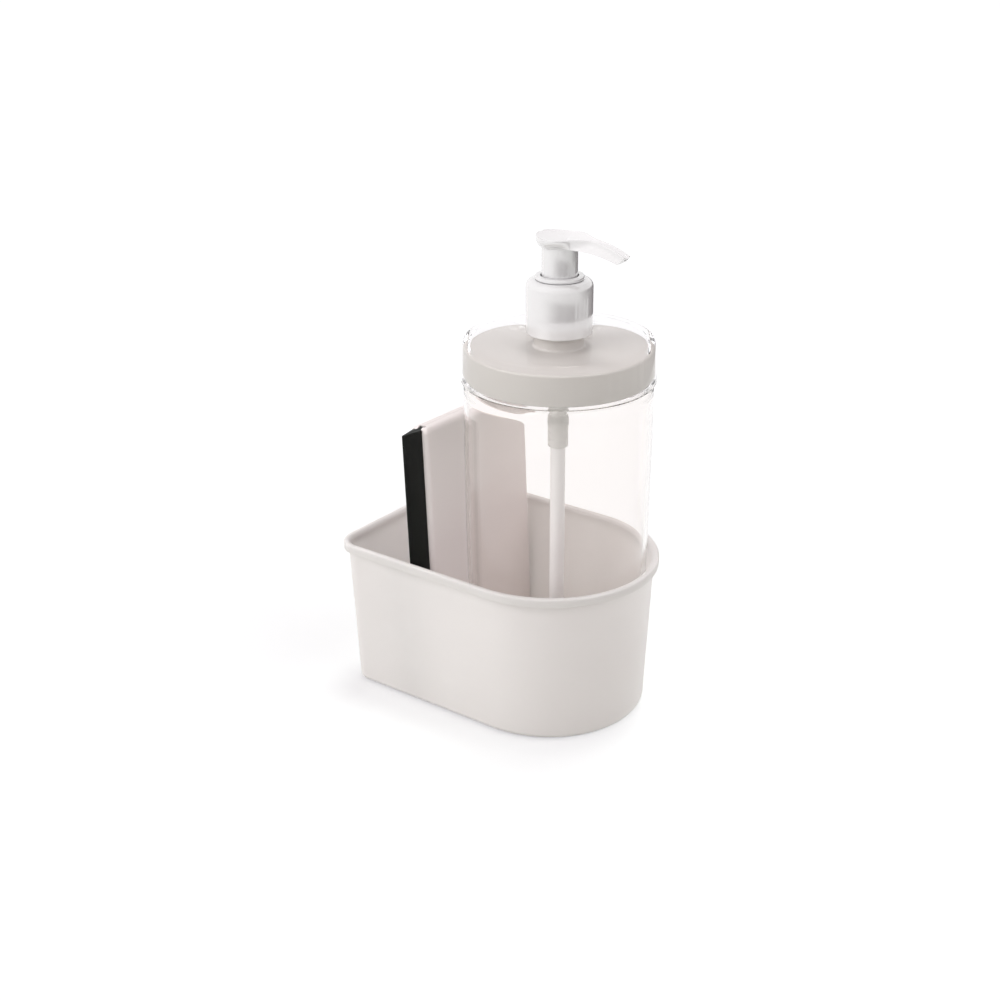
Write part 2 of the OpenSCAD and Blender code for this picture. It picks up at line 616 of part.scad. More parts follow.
// Pump head: lofted pad and spout, skirt, stem socket and outlet channel
module actuator() {
    stations = concat([for (a = [10, 20, 31, 43, 55, 67, 79]) -pad_r * cos(a)],
                      [for (i = [0 : 14]) spout_reach * i / 14]);
    rings = [for (x = stations) head_section(x)];
    n = len(rings[0]);
    m = len(rings);
    points = [for (ring = rings, p = ring) p];
    walls = [for (i = [0 : m - 2], j = [0 : n - 1]) let (k = (j + 1) % n, a = i * n, b = (i + 1) * n)
        each [[a + j, b + j, b + k], [a + j, b + k, a + k]]];
    // Each half of an end face joins the outer side, points 0 to 10, to the dish, points 11 to 14
    half_face = concat([for (j = [0 : 2]) [14, j, j + 1]], [[14, 3, 13], [13, 3, 4], [13, 4, 12]],
                       [[12, 4, 5], [12, 5, 6], [12, 6, 11]], [for (j = [6 : 9]) [11, j, j + 1]]);
    first = concat(half_face, [for (f = half_face) [for (j = [2, 1, 0]) (n - f[j]) % n]]);
    last = [for (f = first) [for (j = [2, 1, 0]) (m - 1) * n + f[j]]];
    boss_wall = 1.6;
    boss_z = well_z + guide_h + stroke + piston_gap * 2;
    duct_r = 0.07 * pad_r;
    start_up = 0.2 * pad_t;
    knee = [0.58 * spout_reach, 0.55 * pad_t];
    tip = [spout_reach - 0.3 * pad_t, -0.3 * pad_t];
    color([0.97, 0.97, 0.97]) difference() {
        union() {
            translate([axis_x, 0, pad_z])
                polyhedron(points = points, faces = concat(first, walls, last), convexity = 4);
            tube(head_skirt_r, head_skirt_r - head_skirt_wall, skirt_z, pad_z + pad_t * 0.45);
            tube(stem_r + boss_wall, stem_r + press_gap, boss_z, pad_z + pad_t * 0.45);
        }
        translate([axis_x, 0, pad_z - pad_t / 2]) cylinder(r = stem_bore_r, h = pad_t * 0.85);
        translate([axis_x, 0, pad_z + start_up])
            rotate([0, 90 - atan2(knee[1] - start_up, knee[0]), 0])
                cylinder(r = duct_r, h = norm(knee - [0, start_up]) + duct_r / 2, $fn = small_fn);
        translate([axis_x + knee[0], 0, pad_z + knee[1]])
            rotate([0, 90 - atan2(tip[1] - knee[1], tip[0] - knee[0]), 0])
                cylinder(r = duct_r, h = 2 * norm(tip - knee), $fn = small_fn);
    }
}

// Places a piece of the squeegee, drawn standing on its end with its middle plane at zero
module squeegee_place() {
    translate([axis_x - squeegee_x, 0, floor_z + rest_gap]) rotate([0, -squeegee_lean, 0])
        translate([0, 0, grip_t / 2 * sin(squeegee_lean)]) children();
}

// The handle's outer form, drawn in by an offset: a slab with round corners and edges
module grip_form(inset) {
    edge = grip_edge_r - inset;
    corner_r = grip_corner_r - inset;
    root_r = max(root_corner_r - inset, grip_wall / 4);
    root_edge = min(edge, 0.9 * root_r);
    far_y = grip_w / 2 - inset;
    near_y = root_y + inset;
    half_t = grip_t / 2 - inset;
    hull()
        for (z = [0, 1], side = [-1, 1]) {
            translate([0, far_y - corner_r, z ? grip_l - inset - corner_r : inset + corner_r])
                rotate([0, 90, 0]) rounded_disc(corner_r, half_t, edge, side);
            translate([0, near_y + root_r, z ? grip_l - inset - root_r : inset + root_r])
                rotate([0, 90, 0]) rounded_disc(root_r, half_t, root_edge, side);
        }
}

// Half of a disc with a rounded edge, as a turned form about Z
module rounded_disc(r, half_t, edge, side) {
    mirror([0, 0, (1 - side) / 2]) rotate_extrude($fn = 32) polygon(concat(
        [[0, 0], [r, 0]], arc([r - edge, half_t - edge], edge, 0, 90, 4), [[0, half_t]]));
}

// Profile of the rubber blade across its length: lip, wedge, tongue and bead
module blade_profile(grow) {
    neck_y = root_y + tongue_l;
    polygon([
        [-blade_lip_t / 2 - grow, blade_y - grow], [blade_lip_t / 2 + grow, blade_y - grow],
        [blade_root_t / 2 + grow, root_y + grow], [tongue_t / 2 + grow, root_y + grow],
        [tongue_t / 2 + grow, neck_y - grow], [bead_t / 2 + grow, neck_y - grow],
        [bead_t / 2 + grow, neck_y + bead_l + grow], [-bead_t / 2 - grow, neck_y + bead_l + grow],
        [-bead_t / 2 - grow, neck_y - grow], [-tongue_t / 2 - grow, neck_y - grow],
        [-tongue_t / 2 - grow, root_y + grow], [-blade_root_t / 2 - grow, root_y + grow]
    ]);
}

// One shell of the handle: side 1 faces the bottle, side -1 faces the flat end
module grip_shell(side) {
    post_zs = [0.2, 0.5, 0.8] * grip_l;
    post_y = grip_w / 2 - grip_corner_r - post_r;
    pocket_y = root_y + lip_w + grip_wall;
    half = grip_t / 2;
    difference() {
        union() {
            difference() {
                grip_form(0);
                intersection() {
                    grip_form(grip_wall);
                    translate([-half, pocket_y, 0]) cube([grip_t, grip_w, grip_l]);
                }
            }
            for (z = post_zs)
                translate([0, post_y, z]) rotate([0, 90 * side, 0])
                    cylinder(r = post_r + post_wall, h = half - grip_wall / 2, $fn = small_fn);
        }
        translate([side > 0 ? -2 * grip_t : 0, blade_y, -cut])
            cube([2 * grip_t, 2 * grip_w, grip_l + 2 * cut]);
        translate([0, 0, -cut]) linear_extrude(height = grip_l + 2 * cut)
            blade_profile(press_gap);
    }
}

module squeegee_front() {
    color([0.82, 0.78, 0.77]) squeegee_place() grip_shell(1);
}

module squeegee_back() {
    color([0.82, 0.78, 0.77]) squeegee_place() grip_shell(-1);
}

module squeegee_blade() {
    end_gap = grip_wall / 4;
    color([0.08, 0.08, 0.09]) squeegee_place()
        translate([0, 0, grip_wall]) linear_extrude(height = grip_l - grip_wall - end_gap)
            blade_profile(0);
}

tub();
bottle();
lid_gasket();
inner_lid();
lid_shell();
collar();
chaplet();
pump_gasket();
housing();
stem();
piston();
piston_seat();
spring();
inlet_ball();
dip_tube();
actuator();
squeegee_front();
squeegee_back();
squeegee_blade();
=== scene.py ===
"""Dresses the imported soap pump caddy, lights it and sets the photograph's view.

Sizes are in millimetres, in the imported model's frame: the origin is the centre of the tub's
footprint, X runs towards the tub's round end, and Z points up. Meshes are made in metres.
"""

from __future__ import annotations

import logging
import math
from dataclasses import dataclass
from enum import Enum
from typing import Iterable, Sequence

import bmesh
import bpy
from mathutils import Matrix, Vector

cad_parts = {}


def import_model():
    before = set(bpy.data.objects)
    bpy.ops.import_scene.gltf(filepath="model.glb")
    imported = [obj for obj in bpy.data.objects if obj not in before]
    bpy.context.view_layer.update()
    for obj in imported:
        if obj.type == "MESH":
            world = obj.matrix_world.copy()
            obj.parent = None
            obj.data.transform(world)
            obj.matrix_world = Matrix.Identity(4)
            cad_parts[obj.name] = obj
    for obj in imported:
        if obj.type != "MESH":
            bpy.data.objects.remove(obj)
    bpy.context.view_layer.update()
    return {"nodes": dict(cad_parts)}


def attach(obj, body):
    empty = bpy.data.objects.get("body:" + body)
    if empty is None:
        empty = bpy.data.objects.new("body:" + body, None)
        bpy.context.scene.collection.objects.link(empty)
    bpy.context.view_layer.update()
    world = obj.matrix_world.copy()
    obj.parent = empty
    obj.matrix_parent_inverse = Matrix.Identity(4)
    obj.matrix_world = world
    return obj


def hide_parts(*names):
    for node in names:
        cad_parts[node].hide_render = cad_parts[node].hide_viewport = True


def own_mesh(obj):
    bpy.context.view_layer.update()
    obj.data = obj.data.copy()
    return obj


LOG = logging.getLogger("soap_pump_caddy")
MM = 0.001
DOUBLES = 0.001 * MM
SHARP_ANGLE = math.radians(32)

# Radii of moulded edges, and how far the outline runs on beyond its first and last rounding

HAIR, FINE, SOFT, MILD, EASY, BOLD = 0.1, 0.2, 0.3, 0.4, 0.5, 0.6
LEAD = 3.0

Point = tuple[float, float]
Corner = tuple[float, ...]
Colour = tuple[float, float, float]
Noise = tuple[float, float, float]
WHITE: Colour = (1.0, 1.0, 1.0)


class Body(Enum):
    """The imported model's bodies that pieces ride on, each of which moves as one."""

    CADDY = "caddy"
    BOTTLE = "bottle"
    LID = "lid"
    PUMP = "pump"
    COLLAR = "collar"
    HEAD = "head"
    SQUEEGEE = "squeegee"


class Slot(Enum):
    """The record's material slots."""

    WARM_WHITE = "warm_white"
    LID_GREY = "lid_grey"
    CLEAR = "clear"
    GLOSS_WHITE = "gloss_white"
    NATURAL = "natural"
    TUBE = "tube"
    SEAL = "seal"
    STEEL = "steel"
    BLADE = "blade"


class Join(Enum):
    """What a Boolean does with the second form."""

    ADD = "UNION"
    CUT = "DIFFERENCE"


# Node trees


class Value:
    """A node's output. Plain arithmetic with it adds math nodes to its graph."""

    def __init__(self, graph: Graph, socket: bpy.types.NodeSocket) -> None:
        """Keeps the graph and the output socket."""
        self.graph, self.socket = graph, socket

    def __add__(self, other: Value | float) -> Value:
        """Adds a number or a value."""
        return self.graph.math("ADD", self, other)

    def __sub__(self, other: Value | float) -> Value:
        """Takes a number or a value away."""
        return self.graph.math("SUBTRACT", self, other)

    def __rsub__(self, other: float) -> Value:
        """Takes this value away from a number."""
        return self.graph.math("SUBTRACT", other, self)

    def __mul__(self, other: Value | float) -> Value:
        """Multiplies by a number or a value."""
        return self.graph.math("MULTIPLY", self, other)

    def __truediv__(self, other: Value | float) -> Value:
        """Divides by a number or a value."""
        return self.graph.math("DIVIDE", self, other)

    def __rtruediv__(self, other: float) -> Value:
        """Divides a number by this value."""
        return self.graph.math("DIVIDE", other, self)

    def __abs__(self) -> Value:
        """Drops the sign."""
        return self.graph.math("ABSOLUTE", self)

    def at_most(self, other: Value | float) -> Value:
        """Returns the smaller of this and a number or a value."""
        return self.graph.math("MINIMUM", self, other)

    def at_least(self, other: Value | float) -> Value:
        """Returns the larger of this and a number or a value."""
        return self.graph.math("MAXIMUM", self, other)


class Graph:
    """A node tree, with short ways to add nodes with their inputs and links."""

    def __init__(self, tree: bpy.types.NodeTree) -> None:
        """Keeps the tree that nodes are added to."""
        self.tree = tree

    def node(self, kind: str, inputs: dict | None = None, **settings: object) -> bpy.types.Node:
        """Adds a node.

        Args:
            kind: the node's type name.
            inputs: a plain value or a Value for each input, by its name or number.
            settings: the node's own options.

        Returns:
            The new node.
        """
        made = self.tree.nodes.new(kind)
        for key, value in settings.items():
            setattr(made, key, value)
        for key, value in (inputs or {}).items():
            if isinstance(value, Value):
                self.tree.links.new(value.socket, made.inputs[key])
            else:
                made.inputs[key].default_value = value
        return made

    def value(self, kind: str, inputs: dict | None = None, *, out: str | int = 0,
              **settings: object) -> Value:
        """Adds a node and returns one of its outputs, which is the first unless out says."""
        return Value(self, self.node(kind, inputs, **settings).outputs[out])

    def math(self, operation: str, first: Value | float, second: Value | float = 0.0) -> Value:
        """Adds a math node and returns its result."""
        return self.value("ShaderNodeMath", {0: first, 1: second}, operation=operation)

    def noise(self, place: Value, scale: float, detail: float, roughness: float) -> Value:
        """Adds a noise, whose scale is in waves a metre, and returns its grey value."""
        return self.value("ShaderNodeTexNoise", {
            "Vector": place, "Scale": scale, "Detail": detail, "Roughness": roughness})

    def spread(self, noise: Value, low: float, high: float) -> Value:
        """Maps a noise's middle range onto a range of its own."""
        return self.value("ShaderNodeMapRange", {
            "Value": noise, "From Min": 0.35, "From Max": 0.65, "To Min": low, "To Max": high})

    def smooth(self, value: Value, start: float, end: float) -> Value:
        """Returns what rises softly from 0 to 1 while a value goes from start to end."""
        return self.value("ShaderNodeMapRange", {"Value": value, "From Min": start,
                          "From Max": end}, interpolation_type="SMOOTHSTEP")

    def bump(self, height: Value, depth: float, distance: float) -> Value:
        """Returns the surface direction that a relief gives."""
        return self.value("ShaderNodeBump", {
            "Height": height, "Strength": depth, "Distance": distance})

    def blend(self, share: Value, first: Colour, second: Colour) -> Value:
        """Mixes two colours.

        Args:
            share: 0 for the first colour and 1 for the second.
            first: the first colour.
            second: the second colour.

        Returns:
            The mixed colour.
        """
        ramp = self.node("ShaderNodeValToRGB", {"Fac": share})
        for stop, colour in zip(ramp.color_ramp.elements, (first, second)):
            stop.color = (*colour, 1.0)
        return Value(self, ramp.outputs[0])


def emptied(owner: bpy.types.Material | bpy.types.World) -> Graph:
    """Empties the nodes of a material or a world.

    Args:
        owner: the new material or world.

    Returns:
        Its empty graph.
    """
    owner.use_nodes = True
    owner.node_tree.nodes.clear()
    return Graph(owner.node_tree)


# Finishes


@dataclass(frozen=True)
class Finish:
    """A finish that makes its material once and gives it to any number of pieces."""

    name: str
    slot: Slot
    colour: Colour
    shade: Colour
    roughness: float

    def material(self) -> bpy.types.Material:
        """Returns this finish's material, making it on first use."""
        return bpy.data.materials.get(self.name) or self.build()

    def surface(self, graph: Graph, place: Value) -> dict[str, object]:
        """Returns the shader's inputs by name. Each kind of finish has its own."""
        raise NotImplementedError

    def build(self) -> bpy.types.Material:
        """Builds the material from its surface.

        Returns:
            The material.
        """
        material = bpy.data.materials.new(self.name)
        graph = emptied(material)
        place = graph.value("ShaderNodeTexCoord", out="Object")
        shader = graph.value("ShaderNodeBsdfPrincipled", self.surface(graph, place))
        graph.node("ShaderNodeOutputMaterial", {"Surface": shader})
        return material


@dataclass(frozen=True)
class Grain:
    """Fine structure in a plastic or rubber. A noise is its scale, detail and roughness."""

    flow: Noise = (14.0, 4.0, 0.55)
    mist: Noise = (90.0, 5.0, 0.6)
    pores: Noise = (1500.0, 2.0, 0.6)
    pore_share: float = 0.7
    tint_share: float = 0.5
    gloss_spread: float = 0.05
    depth: float = 0.06
    distance: float = 0.0002


@dataclass(frozen=True)
class MouldedPlastic(Finish):
    """Opaque moulded plastic, satin or polished, with faint flow marks and a fine grain."""

    grain: Grain = Grain()
    coat: float = 0.0
    coat_roughness: float = 0.1
    coat_ior: float = 1.5
    glow: float = 0.0
    glow_radius: float = 0.004
    gloss: float = 0.5
    ior: float = 1.5

    def surface(self, graph: Graph, place: Value) -> dict[str, object]:
        """Tints it by its flow marks, dulls it by a mist and roughens it by its pores.

        Args:
            graph: the material's graph.
            place: the coordinates that the noises read.

        Returns:
            The shader's inputs by name.
        """
        grain = self.grain
        flow, mist, pores = (graph.noise(place, *noise) for noise in
                             (grain.flow, grain.mist, grain.pores))
        relief = pores * grain.pore_share + mist * (1 - grain.pore_share)
        return {
            "Base Color": graph.blend(graph.spread(flow, 0.0, grain.tint_share), self.colour,
                                      self.shade),
            "Roughness": graph.spread(mist, self.roughness - grain.gloss_spread,
                                      self.roughness + grain.gloss_spread),
            "Normal": graph.bump(relief, grain.depth, grain.distance),
            "IOR": self.ior, "Specular IOR Level": self.gloss, "Coat Weight": self.coat,
            "Coat Roughness": self.coat_roughness, "Coat IOR": self.coat_ior,
            "Subsurface Weight": self.glow, "Subsurface Radius": WHITE,
            "Subsurface Scale": self.glow_radius}


@dataclass(frozen=True)
class ClearPlastic(Finish):
    """Clear or cloudy moulded plastic that light goes through."""

    haze: float = 0.01
    ior: float = 1.5
    transmission: float = 1.0
    wave: Noise = (40.0, 2.0, 0.4)
    mist: Noise = (240.0, 4.0, 0.6)
    wave_depth: float = 0.03
    wave_distance: float = 0.0005
    coat: float = 0.0
    coat_roughness: float = 0.02

    def surface(self, graph: Graph, place: Value) -> dict[str, object]:
        """Clouds it by a mist and bends it by slow waves.

        Args:
            graph: the material's graph.
            place: the coordinates that the noises read.

        Returns:
            The shader's inputs by name.
        """
        wave, mist = (graph.noise(place, *noise) for noise in (self.wave, self.mist))
        return {
            "Base Color": graph.blend(graph.spread(mist, 0.0, 1.0), self.colour, self.shade),
            "Roughness": graph.spread(mist, self.roughness, self.roughness + self.haze),
            "Normal": graph.bump(wave, self.wave_depth, self.wave_distance),
            "Transmission Weight": self.transmission, "IOR": self.ior,
            "Coat Weight": self.coat, "Coat Roughness": self.coat_roughness}


@dataclass(frozen=True)
class DrawnSteel(Finish):
    """Stainless wire or a polished ball, with fine drawing marks."""

    marks: Noise = (2400.0, 3.0, 0.6)
    cloud: Noise = (160.0, 3.0, 0.5)
    stretch: tuple[float, float, float] = (1.0, 1.0, 0.25)
    haze: float = 0.12
    depth: float = 0.15
    distance: float = 0.00005

    def surface(self, graph: Graph, place: Value) -> dict[str, object]:
        """Clouds it and scores it with long fine marks.

        Args:
            graph: the material's graph.
            place: the coordinates that the noises read.

        Returns:
            The shader's inputs by name.
        """
        long = graph.value("ShaderNodeMapping", {"Vector": place, "Scale": self.stretch})
        marks, cloud = graph.noise(long, *self.marks), graph.noise(place, *self.cloud)
        return {
            "Base Color": graph.blend(graph.spread(cloud, 0.0, 1.0), self.colour, self.shade),
            "Roughness": graph.spread(marks, self.roughness, self.roughness + self.haze),
            "Normal": graph.bump(marks, self.depth, self.distance), "Metallic": 1.0}


class Finishes:
    """Every finish of the caddy, by what it is on."""

    TUB = MouldedPlastic("satin_warm_white_plastic", Slot.WARM_WHITE, (0.88, 0.845, 0.82),
                         (0.855, 0.82, 0.795), 0.4, Grain(depth=0.05), glow=0.8,
                         glow_radius=0.008)
    SQUEEGEE = MouldedPlastic("satin_rosy_grey_plastic", Slot.WARM_WHITE, (0.91, 0.86, 0.845),
                              (0.89, 0.84, 0.825), 0.42, Grain(depth=0.05))
    LID = MouldedPlastic("satin_lid_grey_plastic", Slot.LID_GREY, (0.61, 0.59, 0.56),
                         (0.59, 0.57, 0.54), 0.38, Grain(depth=0.04))
    HEAD = MouldedPlastic("polished_white_plastic", Slot.GLOSS_WHITE, (0.785, 0.785, 0.79),
                          (0.765, 0.765, 0.775), 0.2, Grain(gloss_spread=0.02, depth=0.03),
                          coat=1.0, coat_roughness=0.08, coat_ior=2.2, ior=2.2)
    NATURAL = MouldedPlastic("natural_white_plastic", Slot.NATURAL, (0.82, 0.81, 0.79),
                             (0.78, 0.77, 0.75), 0.3, Grain(depth=0.04), glow=0.15)
    CLEAR = ClearPlastic("clear_polished_plastic", Slot.CLEAR, (0.98, 0.965, 0.955),
                         (0.975, 0.96, 0.95), 0.0, ior=1.22)
    LID_CLEAR = ClearPlastic("clear_lid_plastic", Slot.CLEAR, (0.99, 0.985, 0.99),
                             (0.985, 0.98, 0.985), 0.0, ior=1.05, wave_depth=0.0, coat=0.2)
    TUBE = ClearPlastic("cloudy_tube_plastic", Slot.TUBE, (0.96, 0.955, 0.95),
                        (0.94, 0.935, 0.93), 0.3, haze=0.08, transmission=0.05)
    SEAL = MouldedPlastic("pale_seal_rubber", Slot.SEAL, (0.6, 0.6, 0.58), (0.55, 0.55, 0.53),
                          0.7, Grain(depth=0.15, gloss_spread=0.08))
    STEEL = DrawnSteel("drawn_steel", Slot.STEEL, (0.62, 0.63, 0.65), (0.55, 0.56, 0.58), 0.18)
    BLADE = MouldedPlastic("black_blade_rubber", Slot.BLADE, (0.006, 0.007, 0.006),
                           (0.009, 0.01, 0.009), 0.45, Grain(depth=0.12, gloss_spread=0.08),
                           gloss=0.15)


# Outlines


def arc(centre: Point, radius: float, start: float, end: float, steps: int = 10) -> list[Point]:
    """Returns points along an arc.

    Args:
        centre: its centre.
        radius: its radius.
        start: its first angle, in degrees.
        end: its last angle, in degrees.
        steps: the number of its pieces.

    Returns:
        The points, both ends included.
    """
    turns = [math.radians(start + (end - start) * i / steps) for i in range(steps + 1)]
    return [(centre[0] + radius * math.cos(a), centre[1] + radius * math.sin(a)) for a in turns]


def between(start: Point, end: Point, steps: int = 8) -> list[Point]:
    """Returns the points that part a straight line evenly, without its ends."""
    run, rise = end[0] - start[0], end[1] - start[1]
    return [(start[0] + run * i / steps, start[1] + rise * i / steps) for i in range(1, steps)]


def rounded(*corners: Corner) -> list[Point]:
    """Rounds the corners of an outline.

    Args:
        corners: each corner as radius and height, and the radius of its rounding if it has one.

    Returns:
        The outline's points, without the first and last corner, which only give directions.
    """
    steps, most_share = 5, 0.48
    points: list[Point] = []
    for before, corner, after in zip(corners, corners[1:], corners[2:]):
        here = Vector(corner[:2])
        if len(corner) < 3:
            points.append((here.x, here.y))
            continue
        back, ahead = Vector(before[:2]) - here, Vector(after[:2]) - here
        half = back.angle(ahead) / 2
        reach = min(corner[2] / math.tan(half), most_share * back.length,
                    most_share * ahead.length)
        back.normalize()
        ahead.normalize()
        radius = reach * math.tan(half)
        centre = here + (back + ahead).normalized() * (radius / math.sin(half))
        first = here + back * reach - centre
        turn = first.angle_signed(here + ahead * reach - centre)
        for k in range(steps + 1):
            a = math.atan2(first.y, first.x) - turn * k / steps
            points.append((centre.x + radius * math.cos(a), centre.y + radius * math.sin(a)))
    return points


# Mesh helpers


def new_object(name: str, vertices: Iterable[Sequence[float]],
               faces: Iterable[Sequence[int]] = (), edges: Iterable[Sequence[int]] = ()
               ) -> bpy.types.Object:
    """Makes an object from points in millimetres.

    Args:
        name: the object's name.
        vertices: its points.
        faces: its faces, as numbers of points.
        edges: its loose edges, as numbers of points.

    Returns:
        The object, linked to the scene.
    """
    mesh = bpy.data.meshes.new(name)
    mesh.from_pydata([[c * MM for c in v] for v in vertices], list(edges), list(faces))
    mesh.update()
    made = bpy.data.objects.new(name, mesh)
    bpy.context.scene.collection.objects.link(made)
    return made


def close_up(piece: bpy.types.Object) -> bpy.types.Object:
    """Merges doubles, points the faces outwards and smooths all but the sharp edges.

    Args:
        piece: the object.

    Returns:
        The same object.
    """
    work = bmesh.new()
    work.from_mesh(piece.data)
    bmesh.ops.remove_doubles(work, verts=work.verts, dist=DOUBLES)
    bmesh.ops.dissolve_degenerate(work, edges=work.edges, dist=DOUBLES / 2)
    bmesh.ops.recalc_face_normals(work, faces=work.faces)
    if work.calc_volume(signed=True) < 0:
        bmesh.ops.reverse_faces(work, faces=work.faces)
    work.to_mesh(piece.data)
    work.free()
    piece.data.polygons.foreach_set("use_smooth", [True] * len(piece.data.polygons))
    piece.data.set_sharp_from_angle(angle=SHARP_ANGLE)
    piece.data.update()
    return piece


def settle(piece: bpy.types.Object) -> bpy.types.Object:
    """Turns a piece with live modifiers into a plain mesh and closes it up.

    Args:
        piece: the object.

    Returns:
        The same object, with no modifiers.
    """
    graph = bpy.context.evaluated_depsgraph_get()
    mesh = bpy.data.meshes.new_from_object(piece.evaluated_get(graph))
    mesh.name = piece.name
    piece.modifiers.clear()
    piece.data = mesh
    return close_up(piece)


def combine(piece: bpy.types.Object, other: bpy.types.Object, join: Join) -> None:
    """Joins another form to a piece, or cuts it from it.

    Args:
        piece: the object that is kept.
        other: the object that is used up.
        join: what happens to it.
    """
    modifier = piece.modifiers.new("combine", "BOOLEAN")
    modifier.operation = join.value
    modifier.object = other
    modifier.solver = "EXACT"
    settle(piece)
    bpy.data.objects.remove(other)


def skin(rings: int, count: int) -> list[Sequence[int]]:
    """Returns the faces between rings of points, each of which has count points."""
    return [(a + j, a + (j + 1) % count, a + count + (j + 1) % count, a + count + j)
            for a in range(0, (rings - 1) * count, count) for j in range(count)]


def loft(name: str, loops: Sequence[Sequence[Sequence[float]]]) -> bpy.types.Object:
    """Joins loops of equal length into a closed skin with a face at each end.

    Args:
        name: the object's name.
        loops: the loops, each a list of points in millimetres.

    Returns:
        The object.
    """
    count = len(loops[0])
    points = [p for loop in loops for p in loop]
    ends = [range(count)[::-1], range(len(points) - count, len(points))]
    return close_up(new_object(name, points, [*skin(len(loops), count), *ends]))


# Geometry nodes


class GeometryTree:
    """A geometry node tree with named inputs, and an end that realizes and dresses."""

    name: str
    counts: tuple[str, ...]
    sizes: tuple[str, ...]

    def form(self, graph: Graph, given: dict[str, Value]) -> Value:
        """Adds the nodes of the form and returns its geometry. Each kind has its own."""
        raise NotImplementedError

    def build(self) -> bpy.types.NodeTree:
        """Builds the tree: its inputs, its form, smooth shading, real geometry, the material.

        Returns:
            The tree.
        """
        tree = bpy.data.node_groups.new(self.name, "GeometryNodeTree")
        kinds = {"Geometry": "Geometry", "Material": "Material",
                 **dict.fromkeys(self.counts, "Int"), **dict.fromkeys(self.sizes, "Float")}
        for label, kind in kinds.items():
            tree.interface.new_socket(label, in_out="INPUT", socket_type="NodeSocket" + kind)
        tree.interface.new_socket("Geometry", in_out="OUTPUT", socket_type="NodeSocketGeometry")
        graph = Graph(tree)
        source = graph.node("NodeGroupInput")
        given = {label: Value(graph, source.outputs[label]) for label in kinds}
        smooth = graph.value("GeometryNodeSetShadeSmooth", {"Geometry": self.form(graph, given)})
        real = graph.value("GeometryNodeRealizeInstances", {"Geometry": smooth})
        dressed = graph.value("GeometryNodeSetMaterial", {
            "Geometry": real, "Material": given["Material"]})
        graph.node("NodeGroupOutput", {"Geometry": dressed})
        return tree

    def run(self, piece: bpy.types.Object, finish: Finish, values: dict[str, float]
            ) -> bpy.types.Object:
        """Runs the tree on an object and keeps the result as a plain mesh.

        Args:
            piece: the object that carries the tree.
            finish: the finish that it sets.
            values: its other inputs by name, in metres.

        Returns:
            The same object, as a plain mesh.
        """
        values = {**values, "Axis X": AT.axis_x * MM, "Material": finish.material()}
        modifier = piece.modifiers.new(self.name, "NODES")
        modifier.node_group = bpy.data.node_groups.get(self.name) or self.build()
        for item in modifier.node_group.interface.items_tree:
            if item.in_out == "INPUT" and item.name in values:
                modifier[item.identifier] = values[item.name]
        return settle(piece)


class TurnedTree(GeometryTree):
    """Turns an outline about the bottle's axis: a lathe."""

    name = "turned_form"
    counts = ("Segments", "Outline Points")
    sizes = ("Axis X",)

    def form(self, graph: Graph, given: dict[str, Value]) -> Value:
        """Bends a grid round the axis, whose columns follow the outline.

        Args:
            graph: the tree's graph.
            given: its inputs by name.

        Returns:
            The turned geometry.
        """
        segments, count = given["Segments"], given["Outline Points"]
        grid = graph.value("GeometryNodeMeshGrid", {
            "Vertices X": segments + 1.0, "Vertices Y": count})
        index = graph.value("GeometryNodeInputIndex")
        column = graph.math("FLOOR", (index + 0.5) / count)
        sample = graph.value("GeometryNodeSampleIndex", {
            "Geometry": given["Geometry"], "Value": graph.value("GeometryNodeInputPosition"),
            "Index": index - column * count}, data_type="FLOAT_VECTOR", domain="POINT")
        outline = graph.node("ShaderNodeSeparateXYZ", {0: sample}).outputs
        radius, height = Value(graph, outline["X"]), Value(graph, outline["Z"])
        angle = column * (math.tau / segments)
        place = graph.value("ShaderNodeCombineXYZ", {
            "X": radius * graph.math("COSINE", angle) + given["Axis X"],
            "Y": radius * graph.math("SINE", angle), "Z": height})
        moved = graph.value("GeometryNodeSetPosition", {"Geometry": grid, "Position": place})
        return graph.value("GeometryNodeMergeByDistance", {
            "Geometry": moved, "Distance": DOUBLES})

    def turn(self, name: str, outline: Sequence[Point], finish: Finish, segments: int
             ) -> bpy.types.Object:
        """Turns an outline into a piece.

        Args:
            name: the piece's name.
            outline: its points, as radius and height. It ends on the axis if it starts there,
                and closes on itself if not.
            finish: its finish.
            segments: the number of steps round the axis.

        Returns:
            The piece.
        """
        points = [*outline, *(outline[:1] if outline[0][0] > 0 else [])]
        line = [(i, i + 1) for i in range(len(points) - 1)]
        piece = new_object(name, [(r, 0.0, z) for r, z in points], edges=line)
        return self.run(piece, finish, {"Segments": segments, "Outline Points": len(points)})


@dataclass(frozen=True)
class Helix:
    """The sizes of a thread's ridge or a spring, whose end turns have a pitch of their own."""

    radius: float
    low: float
    high: float
    turns: float
    section_r: float
    turn_steps: int
    sides: int = 10
    end_turns: float = 0.0
    end_pitch: float = 0.0


